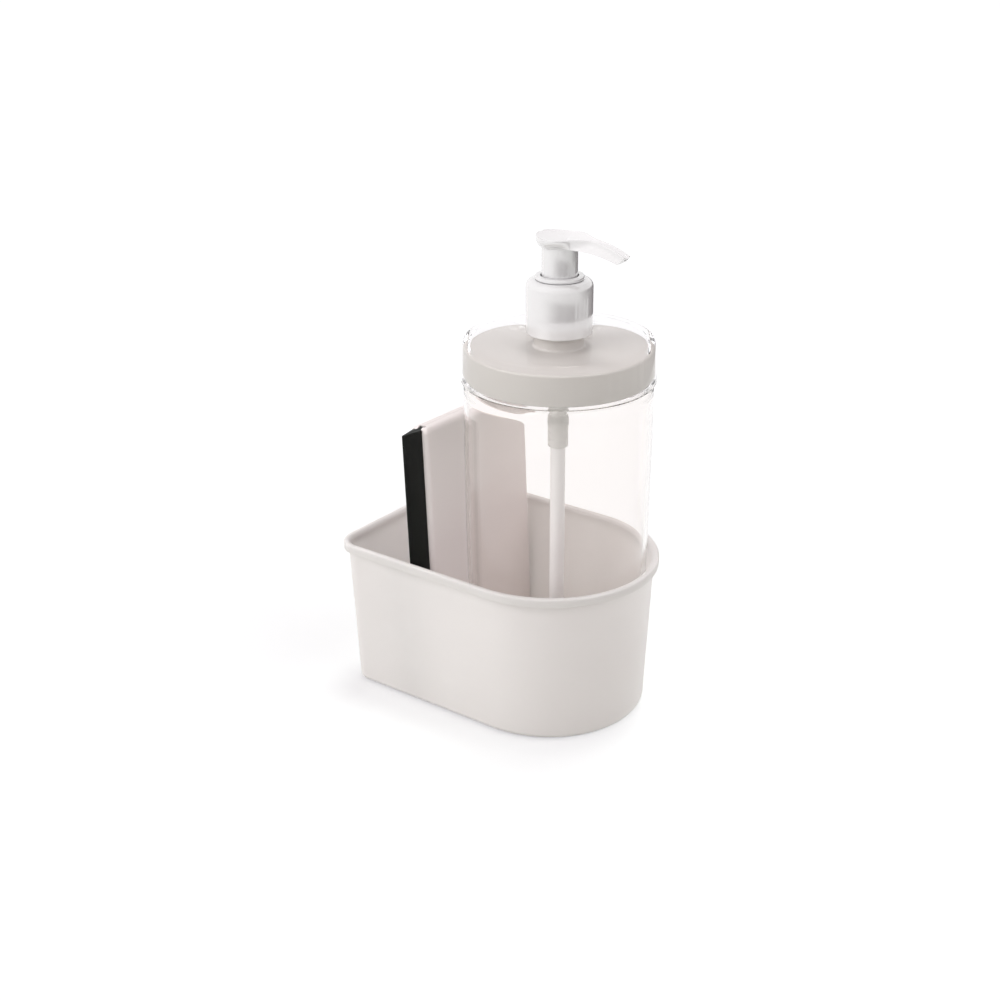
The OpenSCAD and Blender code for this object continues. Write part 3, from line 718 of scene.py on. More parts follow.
class HelixTree(GeometryTree):
    """Sweeps a round section along a helix, with closed end turns if it has them."""

    name = "helix_form"
    counts = ("Steps", "Section Sides")
    sizes = ("Turns", "Radius", "Low", "High", "End Turns", "End Pitch", "Section Radius",
             "Axis X")

    def form(self, graph: Graph, given: dict[str, Value]) -> Value:
        """Winds up a line of points and sweeps the section along it.

        Args:
            graph: the tree's graph.
            given: its inputs by name.

        Returns:
            The swept geometry.
        """
        steps, low = given["Steps"], given["Low"]
        line = graph.value("GeometryNodeMeshLine", {"Count": steps + 1.0})
        share = graph.value("GeometryNodeInputIndex") / steps
        angle = share * given["Turns"] * math.tau
        end = given["End Turns"] / given["Turns"]
        low_end = (share / end).at_most(1.0)
        high_end = ((share - 1.0) / end + 1.0).at_least(0.0)
        open_share = ((share - end) / (1.0 - end * 2.0)).at_least(0.0).at_most(1.0)
        closed_rise = given["End Turns"] * given["End Pitch"]
        open_rise = given["High"] - low - closed_rise * 2.0
        rise = (low_end + high_end) * closed_rise + open_rise * open_share
        place = graph.value("ShaderNodeCombineXYZ", {
            "X": given["Radius"] * graph.math("COSINE", angle) + given["Axis X"],
            "Y": given["Radius"] * graph.math("SINE", angle), "Z": rise + low})
        wound = graph.value("GeometryNodeSetPosition", {"Geometry": line, "Position": place})
        curve = graph.value("GeometryNodeMeshToCurve", {"Mesh": wound})
        section = graph.value("GeometryNodeCurvePrimitiveCircle", {
            "Resolution": given["Section Sides"], "Radius": given["Section Radius"]})
        return graph.value("GeometryNodeCurveToMesh", {
            "Curve": curve, "Profile Curve": section, "Fill Caps": True})

    def wind(self, name: str, helix: Helix, finish: Finish) -> bpy.types.Object:
        """Winds a spring or a thread's ridge.

        Args:
            name: the piece's name.
            helix: its sizes.
            finish: its finish.

        Returns:
            The piece.
        """
        return self.run(new_object(name, [(0.0, 0.0, 0.0)]), finish, {
            "Steps": round(helix.turns * helix.turn_steps), "Turns": helix.turns,
            "Radius": helix.radius * MM, "Low": helix.low * MM, "High": helix.high * MM,
            "End Turns": helix.end_turns, "End Pitch": helix.end_pitch * MM,
            "Section Radius": helix.section_r * MM, "Section Sides": helix.sides})


LATHE = TurnedTree()
WINDER = HelixTree()


# The object


@dataclass(frozen=True)
class Layout:
    """Places that several pieces share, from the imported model."""

    axis_x: float = 25.8
    round_x: float = 21.0
    floor_z: float = 2.6
    shoulder_z: float = 175.4
    mouth_z: float = 191.0
    disc_z: float = 191.8
    disc_top_z: float = 193.6
    shell_z: float = 177.2
    shell_edge_z: float = 199.4
    neck_z: float = 221.7
    flange_z: float = 222.7
    chaplet_z: float = 224.1
    collar_web_z: float = 225.7
    collar_top_z: float = 227.7
    collar_z: float = 201.3
    ring_top_z: float = 229.7
    skirt_z: float = 228.7
    pad_z: float = 243.5
    well_z: float = 214.3
    shelf_z: float = 212.9
    barrel_z: float = 188.45
    spring_bore_z: float = 184.45
    spring_z: float = 158.75
    seat_z: float = 201.95
    ball_seat_z: float = 152.26
    socket_top_z: float = 150.26
    socket_z: float = 142.26
    tube_low_z: float = 8.4
    mouth_r: float = 42.12
    neck_r: float = 12.4
    stroke: float = 13.0
    run_gap: float = 0.1
    press_gap: float = 0.02


AT = Layout()


def place(piece: bpy.types.Object, body: Body, finish: Finish, node: str) -> None:
    """Dresses a piece, hides the CAD node that it stands for and lets it ride on its body.

    Args:
        piece: the finished mesh.
        body: the body that it moves with.
        finish: its finish.
        node: the CAD node that it stands for.
    """
    piece.data.materials.clear()
    piece.data.materials.append(finish.material())
    piece.data.polygons.foreach_set("material_index", [0] * len(piece.data.polygons))
    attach(piece, body.value)
    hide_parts(node)
    if finish.slot is Slot.CLEAR:
        piece.visible_shadow = False
        piece.visible_diffuse = False
    LOG.info("%s rides on %s: %d faces", piece.name, body.value, len(piece.data.polygons))


def turned(name: str, outline: Sequence[Point], segments: int, body: Body, finish: Finish,
           node: str, **threads: Helix) -> None:
    """Turns a piece, adds its threads and places it.

    Args:
        name: the piece's name.
        outline: its points, as radius and height.
        segments: the number of steps round the axis.
        body: the body that it moves with.
        finish: its finish.
        node: the CAD node that it stands for.
        threads: the sizes of its threads, by name.
    """
    piece = LATHE.turn(name, outline, finish, segments)
    for thread, helix in threads.items():
        combine(piece, WINDER.wind(thread, helix, finish), Join.ADD)
    place(piece, body, finish, node)


@dataclass
class Tub:
    """The D-shaped tub with its turned-down rim and foot ring."""

    length: float = 155.2
    width: float = 113.2
    height: float = 82.9
    wall: float = 1.5
    draft: float = 2.6
    rim_out: float = 2.4
    rim_drop: float = 4.2
    rim_t: float = 1.1
    turn_r: float = 2.4
    groove_r: float = 0.5
    corner_r: float = 13.0
    least_corner_r: float = 0.6
    base_r: float = 4.2
    foot_h: float = 0.8
    foot_w: float = 3.0
    under_w: float = 4.0
    belt_heights: tuple[float, ...] = (20.0, 40.0, 60.0)
    round_steps: int = 96
    corner_steps: int = 16

    def wall_u(self, z: float) -> float:
        """Returns how far the wall's outer face lies inside the rim's outline at a height."""
        return -self.rim_out - (self.height - z) * math.tan(math.radians(self.draft))

    def plan(self, offset: float, z: float) -> list[tuple[float, float, float]]:
        """Returns the tub's plan, drawn in or out.

        Args:
            offset: how far out of the rim's outline it lies.
            z: its height.

        Returns:
            A loop of points.
        """
        reach = self.width / 2 + offset
        corner = max(self.corner_r + offset, self.least_corner_r)
        end_x = -self.length / 2 - offset
        near_x, round_x, side = end_x + corner, AT.round_x, reach - corner
        loop = arc((round_x, 0.0), reach, -90, 90, self.round_steps)
        loop += between((round_x, reach), (near_x, reach))
        loop += arc((near_x, side), corner, 90, 180, self.corner_steps)
        loop += between((end_x, side), (end_x, -side))
        loop += arc((near_x, -side), corner, 180, 270, self.corner_steps)
        loop += between((near_x, -reach), (round_x, -reach))
        return [(x, y, z) for x, y in loop]

    def section(self) -> list[Point]:
        """Works out the wall's section, as places out of the rim's outline and heights.

        Returns:
            The points from under the floor, over the rim, to the floor's top.
        """
        draft, top, floor = self.draft, self.height, AT.floor_z
        fillet_u = self.wall_u(self.base_r) - self.base_r
        inner_u = self.wall_u(top) - self.wall
        fillet_in = self.base_r - self.wall
        under_u = fillet_u - self.foot_w
        lip, edge, groove = self.rim_t / 2, self.rim_t * 0.8, self.groove_r
        groove_z = top - self.rim_t - groove
        outside = [(self.wall_u(z), z) for z in self.belt_heights]
        return [
            (under_u - self.under_w, self.foot_h),
            *arc((under_u, self.foot_h - SOFT), SOFT, 90, 60, 2), (under_u + EASY, 0.0),
            *arc((fillet_u, self.base_r), self.base_r, 270, 360 - draft, 12), *outside,
            *arc((self.wall_u(top - self.rim_t) + groove, groove_z), groove, 180 - draft, 90, 5),
            *arc((-self.rim_t - groove, groove_z), groove, 90, 0, 5),
            *arc((-lip, top - self.rim_drop), lip, 180, 360),
            *arc((-edge, top - edge), edge, 0, 90),
            *arc((inner_u + self.turn_r, top - self.turn_r), self.turn_r, 90, 180 - draft),
            *((u - self.wall, z) for u, z in reversed(outside)),
            *arc((self.wall_u(floor + fillet_in) - self.wall - fillet_in, floor + fillet_in),
                 fillet_in, -draft, -90, 12),
            (under_u - self.under_w, floor)]

    def build(self) -> None:
        """Builds and dresses the tub."""
        piece = loft("tub_moulding", [self.plan(u, z) for u, z in self.section()])
        place(piece, Body.CADDY, Finishes.TUB, "tub")


@dataclass
class Bottle:
    """The clear bottle, whose mouth has a screw thread under the lid."""

    radius: float = 46.8
    foot_r: float = 43.82
    wall: float = 2.0
    floor_t: float = 2.4
    foot_round_r: float = 3.6
    push_up: float = 1.4
    push_w: float = 6.0
    push_round_r: float = 12.0
    stand_w: float = 6.0
    stand_round_r: float = 1.0
    shoulder_r: float = 2.2
    bore_round_r: float = 2.0
    body_round_r: float = 3.0
    mouth_wall: float = 1.8
    thread_in: float = 3.5
    thread_root: float = 0.15
    body_steps: int = 24

    def body_r(self, share: float) -> float:
        """Returns the wall's radius at a share of its height: drawn in only low down."""
        return self.radius - (self.radius - self.foot_r) * (1 - share) ** 2.5

    def push(self, low: float) -> list[Corner]:
        """Returns the corners of the floor's push-up, from the axis to its standing ring."""
        ring_in, high = self.foot_r - self.foot_round_r - self.stand_w, low + self.push_up
        return [(0.0, high), (ring_in - self.push_w, high, self.push_round_r),
                (ring_in, low, self.stand_round_r)]

    def outline(self) -> list[Point]:
        """Works out the bottle's outline.

        Returns:
            The points from under the floor's middle, over the mouth, to the floor's top.
        """
        foot_in = max(self.foot_round_r - self.wall, self.wall / 2)
        stand_r, foot_top = self.foot_r - self.foot_round_r, AT.floor_z + self.foot_round_r
        top, inner_r = AT.shoulder_z - self.shoulder_r, self.radius - self.wall
        floor_in = AT.floor_z + self.floor_t
        bore, lip = AT.mouth_r - self.mouth_wall, self.mouth_wall / 3
        shares = [i / self.body_steps for i in range(self.body_steps + 1)]
        body = [(self.body_r(t), foot_top + t * (top - foot_top)) for t in shares]
        under, over = self.push(AT.floor_z), self.push(floor_in)
        return [
            under[0], *rounded(*under, (stand_r, AT.floor_z)),
            *arc((stand_r, foot_top), self.foot_round_r, 270, 360), *body[1:-1],
            *arc((self.radius - self.shoulder_r, top), self.shoulder_r, 0, 90),
            *arc((AT.mouth_r + BOLD, AT.shoulder_z + BOLD), BOLD, 270, 180, 4),
            *arc((AT.mouth_r - lip, AT.mouth_z - lip), lip, 0, 90, 5),
            *arc((bore + lip, AT.mouth_z - lip), lip, 90, 180, 5),
            *rounded((bore, AT.mouth_z - LEAD),
                     (bore, AT.shoulder_z - self.wall / 2, self.bore_round_r),
                     (inner_r, top - self.wall * 1.5, self.body_round_r),
                     (inner_r, top - 4 * LEAD)),
            *((r - self.wall, z) for r, z in reversed(body[1:-2])),
            *arc((self.foot_r - self.wall - foot_in, floor_in + foot_in), foot_in, 0, -90, 8),
            *rounded((stand_r, floor_in), *reversed(over)), over[0]]

    def build(self) -> None:
        """Builds and dresses the bottle with its thread."""
        turned("bottle_wall", self.outline(), 192, Body.BOTTLE, Finishes.CLEAR, "bottle",
               bottle_thread=Helix(AT.mouth_r - self.thread_root, AT.shoulder_z + self.thread_in,
                                   AT.mouth_z - self.thread_in, turns=1.6, section_r=0.75,
                                   turn_steps=96))


@dataclass
class Lid:
    """The screw lid: an opaque inner lid with the pump's neck, under a clear shell."""

    disc_r: float = 44.9
    skirt_r: float = 43.5
    bevel: float = 1.4
    bevel_round_r: float = 1.0
    edge_r: float = 1.2
    neck_bore_r: float = 11.0
    shell_r: float = 46.8
    shell_wall: float = 1.8
    shell_top_t: float = 1.8
    shell_round_r: float = 3.5
    dome: float = 1.5
    dome_w: float = 8.0
    lip_out: float = 1.3
    lip_h: float = 2.0
    lip_round_r: float = 3.0
    hole_r: float = 13.66
    thread_root: float = 0.12
    thread_up: float = 3.0
    thread_in: float = 3.2
    neck_thread_root: float = 0.1
    neck_thread_up: float = 11.0
    neck_thread_in: float = 2.4

    def inner(self) -> None:
        """Builds the opaque lid with its two threads."""
        edge, bore, disc_r, skirt_r = self.edge_r, self.neck_bore_r, self.disc_r, self.skirt_r
        low = AT.shell_z + self.lip_h / 2 + AT.press_gap
        outline = [
            *rounded((bore, AT.disc_z + LEAD), (bore, AT.disc_z, SOFT),
                     (skirt_r - self.bevel, AT.disc_z, self.bevel_round_r),
                     (skirt_r, AT.disc_z - self.bevel, self.bevel_round_r),
                     (skirt_r, low, MILD), (disc_r, low, MILD), (disc_r, low + LEAD)),
            *arc((disc_r - edge, AT.disc_top_z - edge), edge, 0, 90),
            *arc((AT.neck_r + edge, AT.disc_top_z + edge), edge, 270, 180),
            *rounded((AT.neck_r, AT.neck_z - LEAD), (AT.neck_r, AT.neck_z, SOFT),
                     (bore, AT.neck_z, SOFT), (bore, AT.neck_z - LEAD))]
        turned("inner_lid_moulding", outline, 160, Body.LID, Finishes.LID, "inner_lid",
               neck_thread=Helix(AT.neck_r - self.neck_thread_root,
                                 AT.disc_top_z + self.neck_thread_up,
                                 AT.neck_z - self.neck_thread_in, turns=2.6, section_r=0.8,
                                 turn_steps=64),
               lid_thread=Helix(skirt_r + self.thread_root, low + self.thread_up,
                                AT.disc_z - self.thread_in, turns=1.6, section_r=0.72,
                                turn_steps=96))

    def shell(self) -> None:
        """Builds the clear outer shell with its snap bead and lip."""
        shell_r, round_r, lip = self.shell_r, self.shell_round_r, self.lip_h / 2
        low, edge_z = AT.shell_z, AT.shell_edge_z
        slot, ledge = self.disc_r - AT.press_gap, self.disc_r - self.edge_r
        hole_z, inside_z = edge_z + self.dome, edge_z - self.shell_top_t
        round_in = max(round_r - self.shell_wall, self.shell_wall / 3)
        outline = [
            *rounded((slot, low + LEAD), (slot, low + lip, SOFT),
                     (slot - lip / 2, low + lip / 2, FINE), (slot - lip / 2, low, FINE),
                     (shell_r, low)),
            *arc((shell_r + self.lip_out - lip, low + lip), lip, -90, 60, 12),
            *rounded((shell_r + self.lip_out / 2, low + lip),
                     (shell_r + self.lip_out / 3, low + 2 * self.lip_h, self.lip_round_r),
                     (shell_r, edge_z - round_r)),
            *arc((shell_r - round_r, edge_z - round_r), round_r, 0, 86, 12),
            *rounded((shell_r - self.dome_w, edge_z), (self.hole_r, hole_z, EASY),
                     (self.hole_r, hole_z - self.shell_top_t, SOFT),
                     (ledge - round_in, inside_z)),
            *arc((ledge - round_in, inside_z - round_in), round_in, 88, 0, 8),
            *arc((ledge, AT.disc_top_z - self.edge_r), self.edge_r - AT.press_gap, 90, 0)]
        turned("lid_shell_moulding", outline, 384, Body.LID, Finishes.LID_CLEAR, "lid_shell")

    def build(self) -> None:
        """Builds and dresses both lids."""
        self.inner()
        self.shell()


@dataclass
class Pump:
    """The lotion pump's collar, guide, cylinder, dip tube and spring."""

    collar_r: float = 16.3
    collar_wall: float = 2.0
    collar_round_r: float = 3.6
    thread_root: float = 0.05
    thread_low: float = 2.5
    thread_high: float = 14.0
    flange_r: float = 12.3
    cup_r: float = 10.8
    cup_bore_r: float = 9.9
    sleeve_r: float = 9.88
    sleeve_bore_r: float = 9.28
    throat_r: float = 10.78
    ring_r: float = 11.89
    ring_under_r: float = 0.25
    ring_edge_r: float = 0.7
    ring_in_r: float = 0.35
    guide_bore_r: float = 4.2
    guide_wall: float = 1.1
    guide_h: float = 8.0
    plate_t: float = 1.4
    barrel_bore_r: float = 6.2
    barrel_r: float = 7.3
    spring_bore_r: float = 4.0
    catch_t: float = 0.8
    port_r: float = 1.7
    lower_r: float = 5.1
    ball_r: float = 2.4
    tube_r: float = 3.75
    tube_wall: float = 0.85
    tube_steps: int = 12
    slant: float = 45.0
    slant_over: float = 1.0
    wire_d: float = 0.8
    wire_gap: float = 0.05
    spring_turns: float = 13.0
    coil_gap: float = 0.45

    def collar(self) -> None:
        """Builds the screw collar with its thread."""
        outer, bore, round_r = self.collar_r, self.collar_r - self.collar_wall, self.collar_round_r
        throat = self.throat_r + 1.5 * AT.run_gap
        low, top, web_z = AT.collar_z, AT.collar_top_z, AT.collar_web_z + AT.press_gap
        outline = [
            *rounded((bore, low + LEAD), (bore, low, MILD), (outer, low, BOLD),
                     (outer, low + LEAD)),
            *arc((outer - round_r, top - round_r), round_r, 0, 90, 16),
            *rounded((throat + 1, top), (throat, top, MILD), (throat, web_z, SOFT),
                     (bore, web_z, EASY), (bore, web_z - LEAD))]
        turned("collar_moulding", outline, 128, Body.COLLAR, Finishes.HEAD, "collar",
               collar_thread=Helix(bore + self.thread_root, low + self.thread_low,
                                   low + self.thread_high, turns=2.6, section_r=0.8,
                                   turn_steps=64))

    def guide(self) -> None:
        """Builds the guide ring that stands out of the collar."""
        bore, outer = self.guide_bore_r, self.guide_bore_r + self.guide_wall
        low, well, neck_z = AT.well_z - self.plate_t, AT.well_z, AT.collar_top_z + 2 * AT.run_gap
        outline = rounded(
            (bore, low + LEAD), (bore, low, FINE), (self.sleeve_r, low, SOFT),
            (self.sleeve_r, AT.chaplet_z, HAIR), (self.flange_r, AT.chaplet_z, FINE),
            (self.flange_r, AT.collar_web_z, FINE), (self.throat_r, AT.collar_web_z, HAIR),
            (self.throat_r, neck_z, HAIR), (self.ring_r, neck_z, self.ring_under_r),
            (self.ring_r, AT.ring_top_z, self.ring_edge_r),
            (self.sleeve_bore_r, AT.ring_top_z, self.ring_in_r),
            (self.sleeve_bore_r, well, FINE), (outer, well, FINE),
            (outer, well + self.guide_h, SOFT), (bore, well + self.guide_h, SOFT),
            (bore, well + LEAD))
        turned("guide_moulding", outline, 128, Body.PUMP, Finishes.HEAD, "chaplet")

    def cylinder(self) -> None:
        """Builds the pump's cylinder with its flange, cup, barrel and tube socket."""
        cup_wall = self.cup_r - self.cup_bore_r
        catch_r, room_r = self.ball_r - 4 * AT.run_gap, self.ball_r + 5 * AT.run_gap
        socket_r, catch_z = self.tube_r + AT.press_gap, AT.spring_z - self.catch_t
        outline = rounded(
            (self.cup_r, AT.flange_z - LEAD), (self.cup_r, AT.flange_z, HAIR),
            (self.flange_r, AT.flange_z, FINE), (self.flange_r, AT.chaplet_z, FINE),
            (self.cup_bore_r, AT.chaplet_z, FINE), (self.cup_bore_r, AT.shelf_z, FINE),
            (self.barrel_bore_r, AT.shelf_z, MILD), (self.barrel_bore_r, AT.barrel_z, BOLD),
            (self.spring_bore_r, AT.spring_bore_z, BOLD), (self.spring_bore_r, AT.spring_z, HAIR),
            (catch_r, AT.spring_z, HAIR), (catch_r, catch_z, HAIR), (room_r, catch_z, HAIR),
            (room_r, AT.ball_seat_z, FINE), (self.port_r, AT.ball_seat_z),
            (self.port_r, AT.socket_top_z), (socket_r, AT.socket_top_z),
            (socket_r, AT.socket_z, SOFT), (self.lower_r, AT.socket_z, EASY),
            (self.lower_r, AT.spring_bore_z, 2 * MILD), (self.barrel_r, AT.barrel_z, 2 * MILD),
            (self.barrel_r, AT.shelf_z - 2.5 * cup_wall, MILD),
            (self.cup_bore_r, AT.shelf_z - cup_wall, SOFT), (self.cup_r, AT.shelf_z, MILD),
            (self.cup_r, AT.shelf_z + LEAD))
        turned("cylinder_moulding", outline, 96, Body.PUMP, Finishes.NATURAL, "housing")

    def dip_tube(self) -> None:
        """Builds the dip tube, whose foot is cut at a slant."""
        low, top = AT.tube_low_z, AT.socket_top_z - AT.press_gap
        inner, steps = self.tube_r - self.tube_wall, self.tube_steps
        heights = [low + (top - low) * i / steps for i in range(steps + 1)]
        outline = [(self.tube_r, z) for z in heights] + [(inner, z) for z in reversed(heights)]
        piece = LATHE.turn("dip_tube_extrusion", outline, Finishes.TUBE, 64)
        reach, deep = 4 * self.tube_r, 2 * self.tube_r
        corners = [(x, y, z) for x in (-self.slant_over, reach) for y in (-deep, deep)
                   for z in (-deep, 0.0)]
        sides = [(0, 1, 3, 2), (4, 6, 7, 5), (0, 4, 5, 1), (2, 3, 7, 6), (0, 2, 6, 4),
                 (1, 5, 7, 3)]
        turn = Matrix.Rotation(math.radians(-self.slant), 4, "Y")
        shift = Vector((AT.axis_x - self.tube_r, 0.0, low))
        knife = close_up(new_object("slant", [turn @ Vector(c) + shift for c in corners], sides))
        combine(piece, knife, Join.CUT)
        place(piece, Body.PUMP, Finishes.TUBE, "dip_tube")

    def spring(self) -> None:
        """Winds the return spring and gives it a mesh of its own."""
        wire = self.wire_d / 2
        low, high = AT.spring_z + wire + self.wire_gap, AT.seat_z - wire - self.wire_gap
        helix = Helix(self.spring_bore_r - self.wire_d, low, high, self.spring_turns, wire, 36,
                      sides=12, end_turns=1.0, end_pitch=self.wire_d + self.coil_gap)
        piece = WINDER.wind("return_spring", helix, Finishes.STEEL)
        place(piece, Body.PUMP, Finishes.STEEL, "spring")
        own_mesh(piece)

    def build(self) -> None:
        """Builds and dresses everything but the head."""
        self.collar()
        self.guide()
        self.cylinder()
        self.dip_tube()
        self.spring()


@dataclass
class Head:
    """The pump's head: a dished thumb pad that narrows to a drooping spout, on a skirt."""

    pad_r: float = 11.25
    reach: float = 37.5
    pad_t: float = 4.6
    skirt_r: float = 8.7
    skirt_wall: float = 1.0
    stem_r: float = 4.1
    boss_wall: float = 1.6
    boss_gap: float = 1.0
    duct_share: float = 0.07
    root_share: float = 0.45
    tip_share: float = 0.24
    wide_share: float = 1.07
    neck_share: float = 0.06
    taper_share: float = 0.56
    low_share: float = 0.8
    low_taper_share: float = 0.4
    rim_rise_shares: Corner = (1.04, 1.2, 1.19, 1.04, 0.25)
    low_rise_shares: Corner = (0.0, 1.3, 1.89, 0.1, 0.45)
    dish_share: float = 0.5
    dish_taper_share: float = 0.36
    edge_share: float = 0.08
    edge_shares: tuple[Point, ...] = ((0, 0.5), (0.05, 0.25), (0.2, 0.06), (1 / 3, 0),
                                      (0.65, 0.05), (1, 0.25))
    lean_share: float = 0.6
    crown_share: float = 0.04
    flank_share: float = 0.88
    flare_shares: Point = (0.1, 0.2)
    knee_shares: Point = (0.58, 0.55)
    spout_share: float = 0.3
    back_angle: float = 10.0
    back_steps: int = 18
    arm_steps: int = 44
    flank_steps: int = 11

    def along(self, x: float) -> tuple[float, float]:
        """Returns the shares of the arm's reach and of the pad's back at a place."""
        return max(x, 0) / self.reach, max(-x, 0) / self.pad_r

    def rim_half(self, x: float) -> float:
        """Returns half the top rim's width at a distance from the axis."""
        tip, wide, neck = (self.tip_share * self.pad_r, self.wide_share * self.pad_r,
                           self.neck_share * self.reach)
        if x <= 0:
            return wide * math.sqrt(max(1 - (x / self.pad_r) ** 2, 0))
        s = min(max((x - neck) / (self.taper_share * self.reach - neck), 0), 1)
        return tip + (wide - tip) * (1 - s * s * (3 - 2 * s))

    def low_half(self, x: float) -> float:
        """Returns half the underside's width at a distance from the axis."""
        wide, taper = self.low_share * self.pad_r, self.low_taper_share * self.pad_r
        if x <= 0:
            return min(self.rim_half(x) * self.low_share, wide)
        return wide - taper * self.along(x)[0]

    def rise(self, x: float, shares: Corner) -> float:
        """Works out a height above the pad's foot.

        Args:
            x: the distance from the axis.
            shares: what the pad's thickness is multiplied by at the axis, and for the first,
                second and third power of the way along the arm and the square of the way back.

        Returns:
            The height.
        """
        level, up, down, droop, behind = shares
        s, back = self.along(x)
        return self.pad_t * (level + up * s - down * s * s - droop * s ** 3
                             + behind * back * back)

    def dish(self, x: float) -> float:
        """Returns the dish's depth below the rim."""
        behind = min(max((x + self.pad_r) / self.pad_r, 0), 1)
        return self.pad_t * (self.dish_share - self.dish_taper_share * self.along(x)[0]) * behind

    def half_section(self, x: float) -> tuple[list[Vector], list[Vector]]:
        """Returns half a section of the head.

        Args:
            x: its distance from the axis.

        Returns:
            The outer side from the underside's middle to the rim, and the dish from the rim
            to its middle.
        """
        w = max(self.rim_half(x), self.pad_t / 40)
        v = max(self.low_half(x), self.pad_t / 50)
        top, low = self.rise(x, self.rim_rise_shares), self.rise(x, self.low_rise_shares)
        deep, s, edge = self.dish(x), self.along(x)[0], min(self.edge_share * self.pad_r, w / 3)
        back, crown = self.pad_t * self.lean_share * s * s, self.crown_share * self.pad_t
        outer = [Vector((x - back, v * t, low - crown * (1 - t * t))) for t in
                 (0.0, 0.2, 0.4, 0.6, 0.8)]
        flare_from, flare_over = self.flare_shares
        ease = min(max((s - flare_from) / flare_over, 0), 1)
        for i in range(self.flank_steps + 1):
            t = self.flank_share * i / self.flank_steps
            flare = ease * (1 - (1 - t) ** 2) + (1 - ease) * t * (2 - t)
            outer.append(Vector((x - back * (1 - t), v + (w - v) * flare,
                                 low + (top - edge / 2 - low) * t)))
        outer += [Vector((x, w - edge * inward, top - edge * down))
                  for inward, down in self.edge_shares]
        cup = [Vector((x, (w - edge) * t, top - edge / 4 - deep * (1 - t * t)))
               for t in (0.9, 0.8, 0.7, 0.6, 0.5, 0.4, 0.3, 0.2, 0.1, 0.0)]
        return outer, cup

    def end_face(self, outer: Sequence[Vector], cup: Sequence[Vector]) -> list[list[int]]:
        """Closes half an end of the loft between its outer side and its dish.

        Args:
            outer: the outer side's points.
            cup: the dish's points.

        Returns:
            Faces, as numbers in the outer side followed by the dish.
        """
        faces, i, j = [], 0, len(cup) - 1
        last = len(outer) - 1
        while i < last or j > 0:
            step_out = (outer[i + 1] - cup[j]).length if i < last else math.inf
            step_in = (outer[i] - cup[j - 1]).length if j > 0 else math.inf
            if step_out <= step_in:
                faces.append([len(outer) + j, i, i + 1])
                i += 1
            else:
                faces.append([len(outer) + j, i, len(outer) + j - 1])
                j -= 1
        return faces

    def pad(self) -> bpy.types.Object:
        """Lofts the pad and the spout.

        Returns:
            The lofted form.
        """
        first = math.radians(self.back_angle)
        angles = [first + (math.pi / 2 - first) * i / self.back_steps
                  for i in range(self.back_steps)]
        stations = [-self.pad_r * math.cos(a) for a in angles]
        stations += [self.reach * i / self.arm_steps for i in range(self.arm_steps + 1)]
        shift = Vector((AT.axis_x, 0.0, AT.pad_z))
        points: list[Vector] = []
        for x in stations:
            outer, cup = self.half_section(x)
            chain = outer + cup
            mirrored = [Vector((p.x, -p.y, p.z)) for p in reversed(chain[1:-1])]
            points += [p + shift for p in chain + mirrored]
        count = len(points) // len(stations)
        faces = skin(len(stations), count)
        for base, x in ((0, stations[0]), (len(points) - count, stations[-1])):
            for face in self.end_face(*self.half_section(x)):
                faces.append([base + k for k in face])
                faces.append([base + (count - k) % count for k in reversed(face)])
        return close_up(new_object("head_moulding", points, faces))

    def sleeve(self, piece: bpy.types.Object, name: str, bore: float, wall: float, low: float,
               segments: int) -> None:
        """Adds an upright sleeve under the pad.

        Args:
            piece: the pad.
            name: the sleeve's name.
            bore: the radius of its bore.
            wall: its wall.
            low: the height of its foot.
            segments: the number of steps round its axis.
        """
        outer, top = bore + wall, AT.pad_z + self.pad_t * self.root_share
        outline = rounded((bore, low + LEAD), (bore, low, SOFT), (outer, low, SOFT),
                          (outer, top), (bore, top), (bore, low))
        combine(piece, LATHE.turn(name, outline, Finishes.HEAD, segments), Join.ADD)

    def channel(self, start: Point, end: Point, radius: float) -> bpy.types.Object:
        """Makes a round cutter in the head's middle plane.

        Args:
            start: its first point, as distance from the axis and height over the pad's foot.
            end: its last point.
            radius: its radius.

        Returns:
            The cutter.
        """
        a, b = (Vector((x, 0.0, z)) for x, z in (start, end))
        turn = (b - a).to_track_quat("Z", "Y").to_matrix()
        shift = Vector((AT.axis_x, 0.0, AT.pad_z))
        ring = arc((0.0, 0.0), radius, 0, 360, 32)[:-1]
        return loft("channel", [[a + (b - a) * share + turn @ Vector((x, y, 0.0)) + shift
                                 for x, y in ring] for share in (0.0, 1.0)])

    def build(self) -> None:
        """Builds and dresses the head."""
        piece = self.pad()
        self.sleeve(piece, "skirt", self.skirt_r - self.skirt_wall, self.skirt_wall, AT.skirt_z,
                    128)
        boss_low = AT.well_z + Pump.guide_h + AT.stroke + self.boss_gap
        self.sleeve(piece, "boss", self.stem_r + AT.press_gap, self.boss_wall, boss_low, 96)
        knee = (self.knee_shares[0] * self.reach, self.knee_shares[1] * self.pad_t)
        spout = self.spout_share * self.pad_t
        tip = (self.reach - spout, -spout)
        beyond = (2 * tip[0] - knee[0], 2 * tip[1] - knee[1])
        combine(piece, self.channel(knee, beyond, self.duct_share * self.pad_r), Join.CUT)
        place(piece, Body.HEAD, Finishes.HEAD, "actuator")


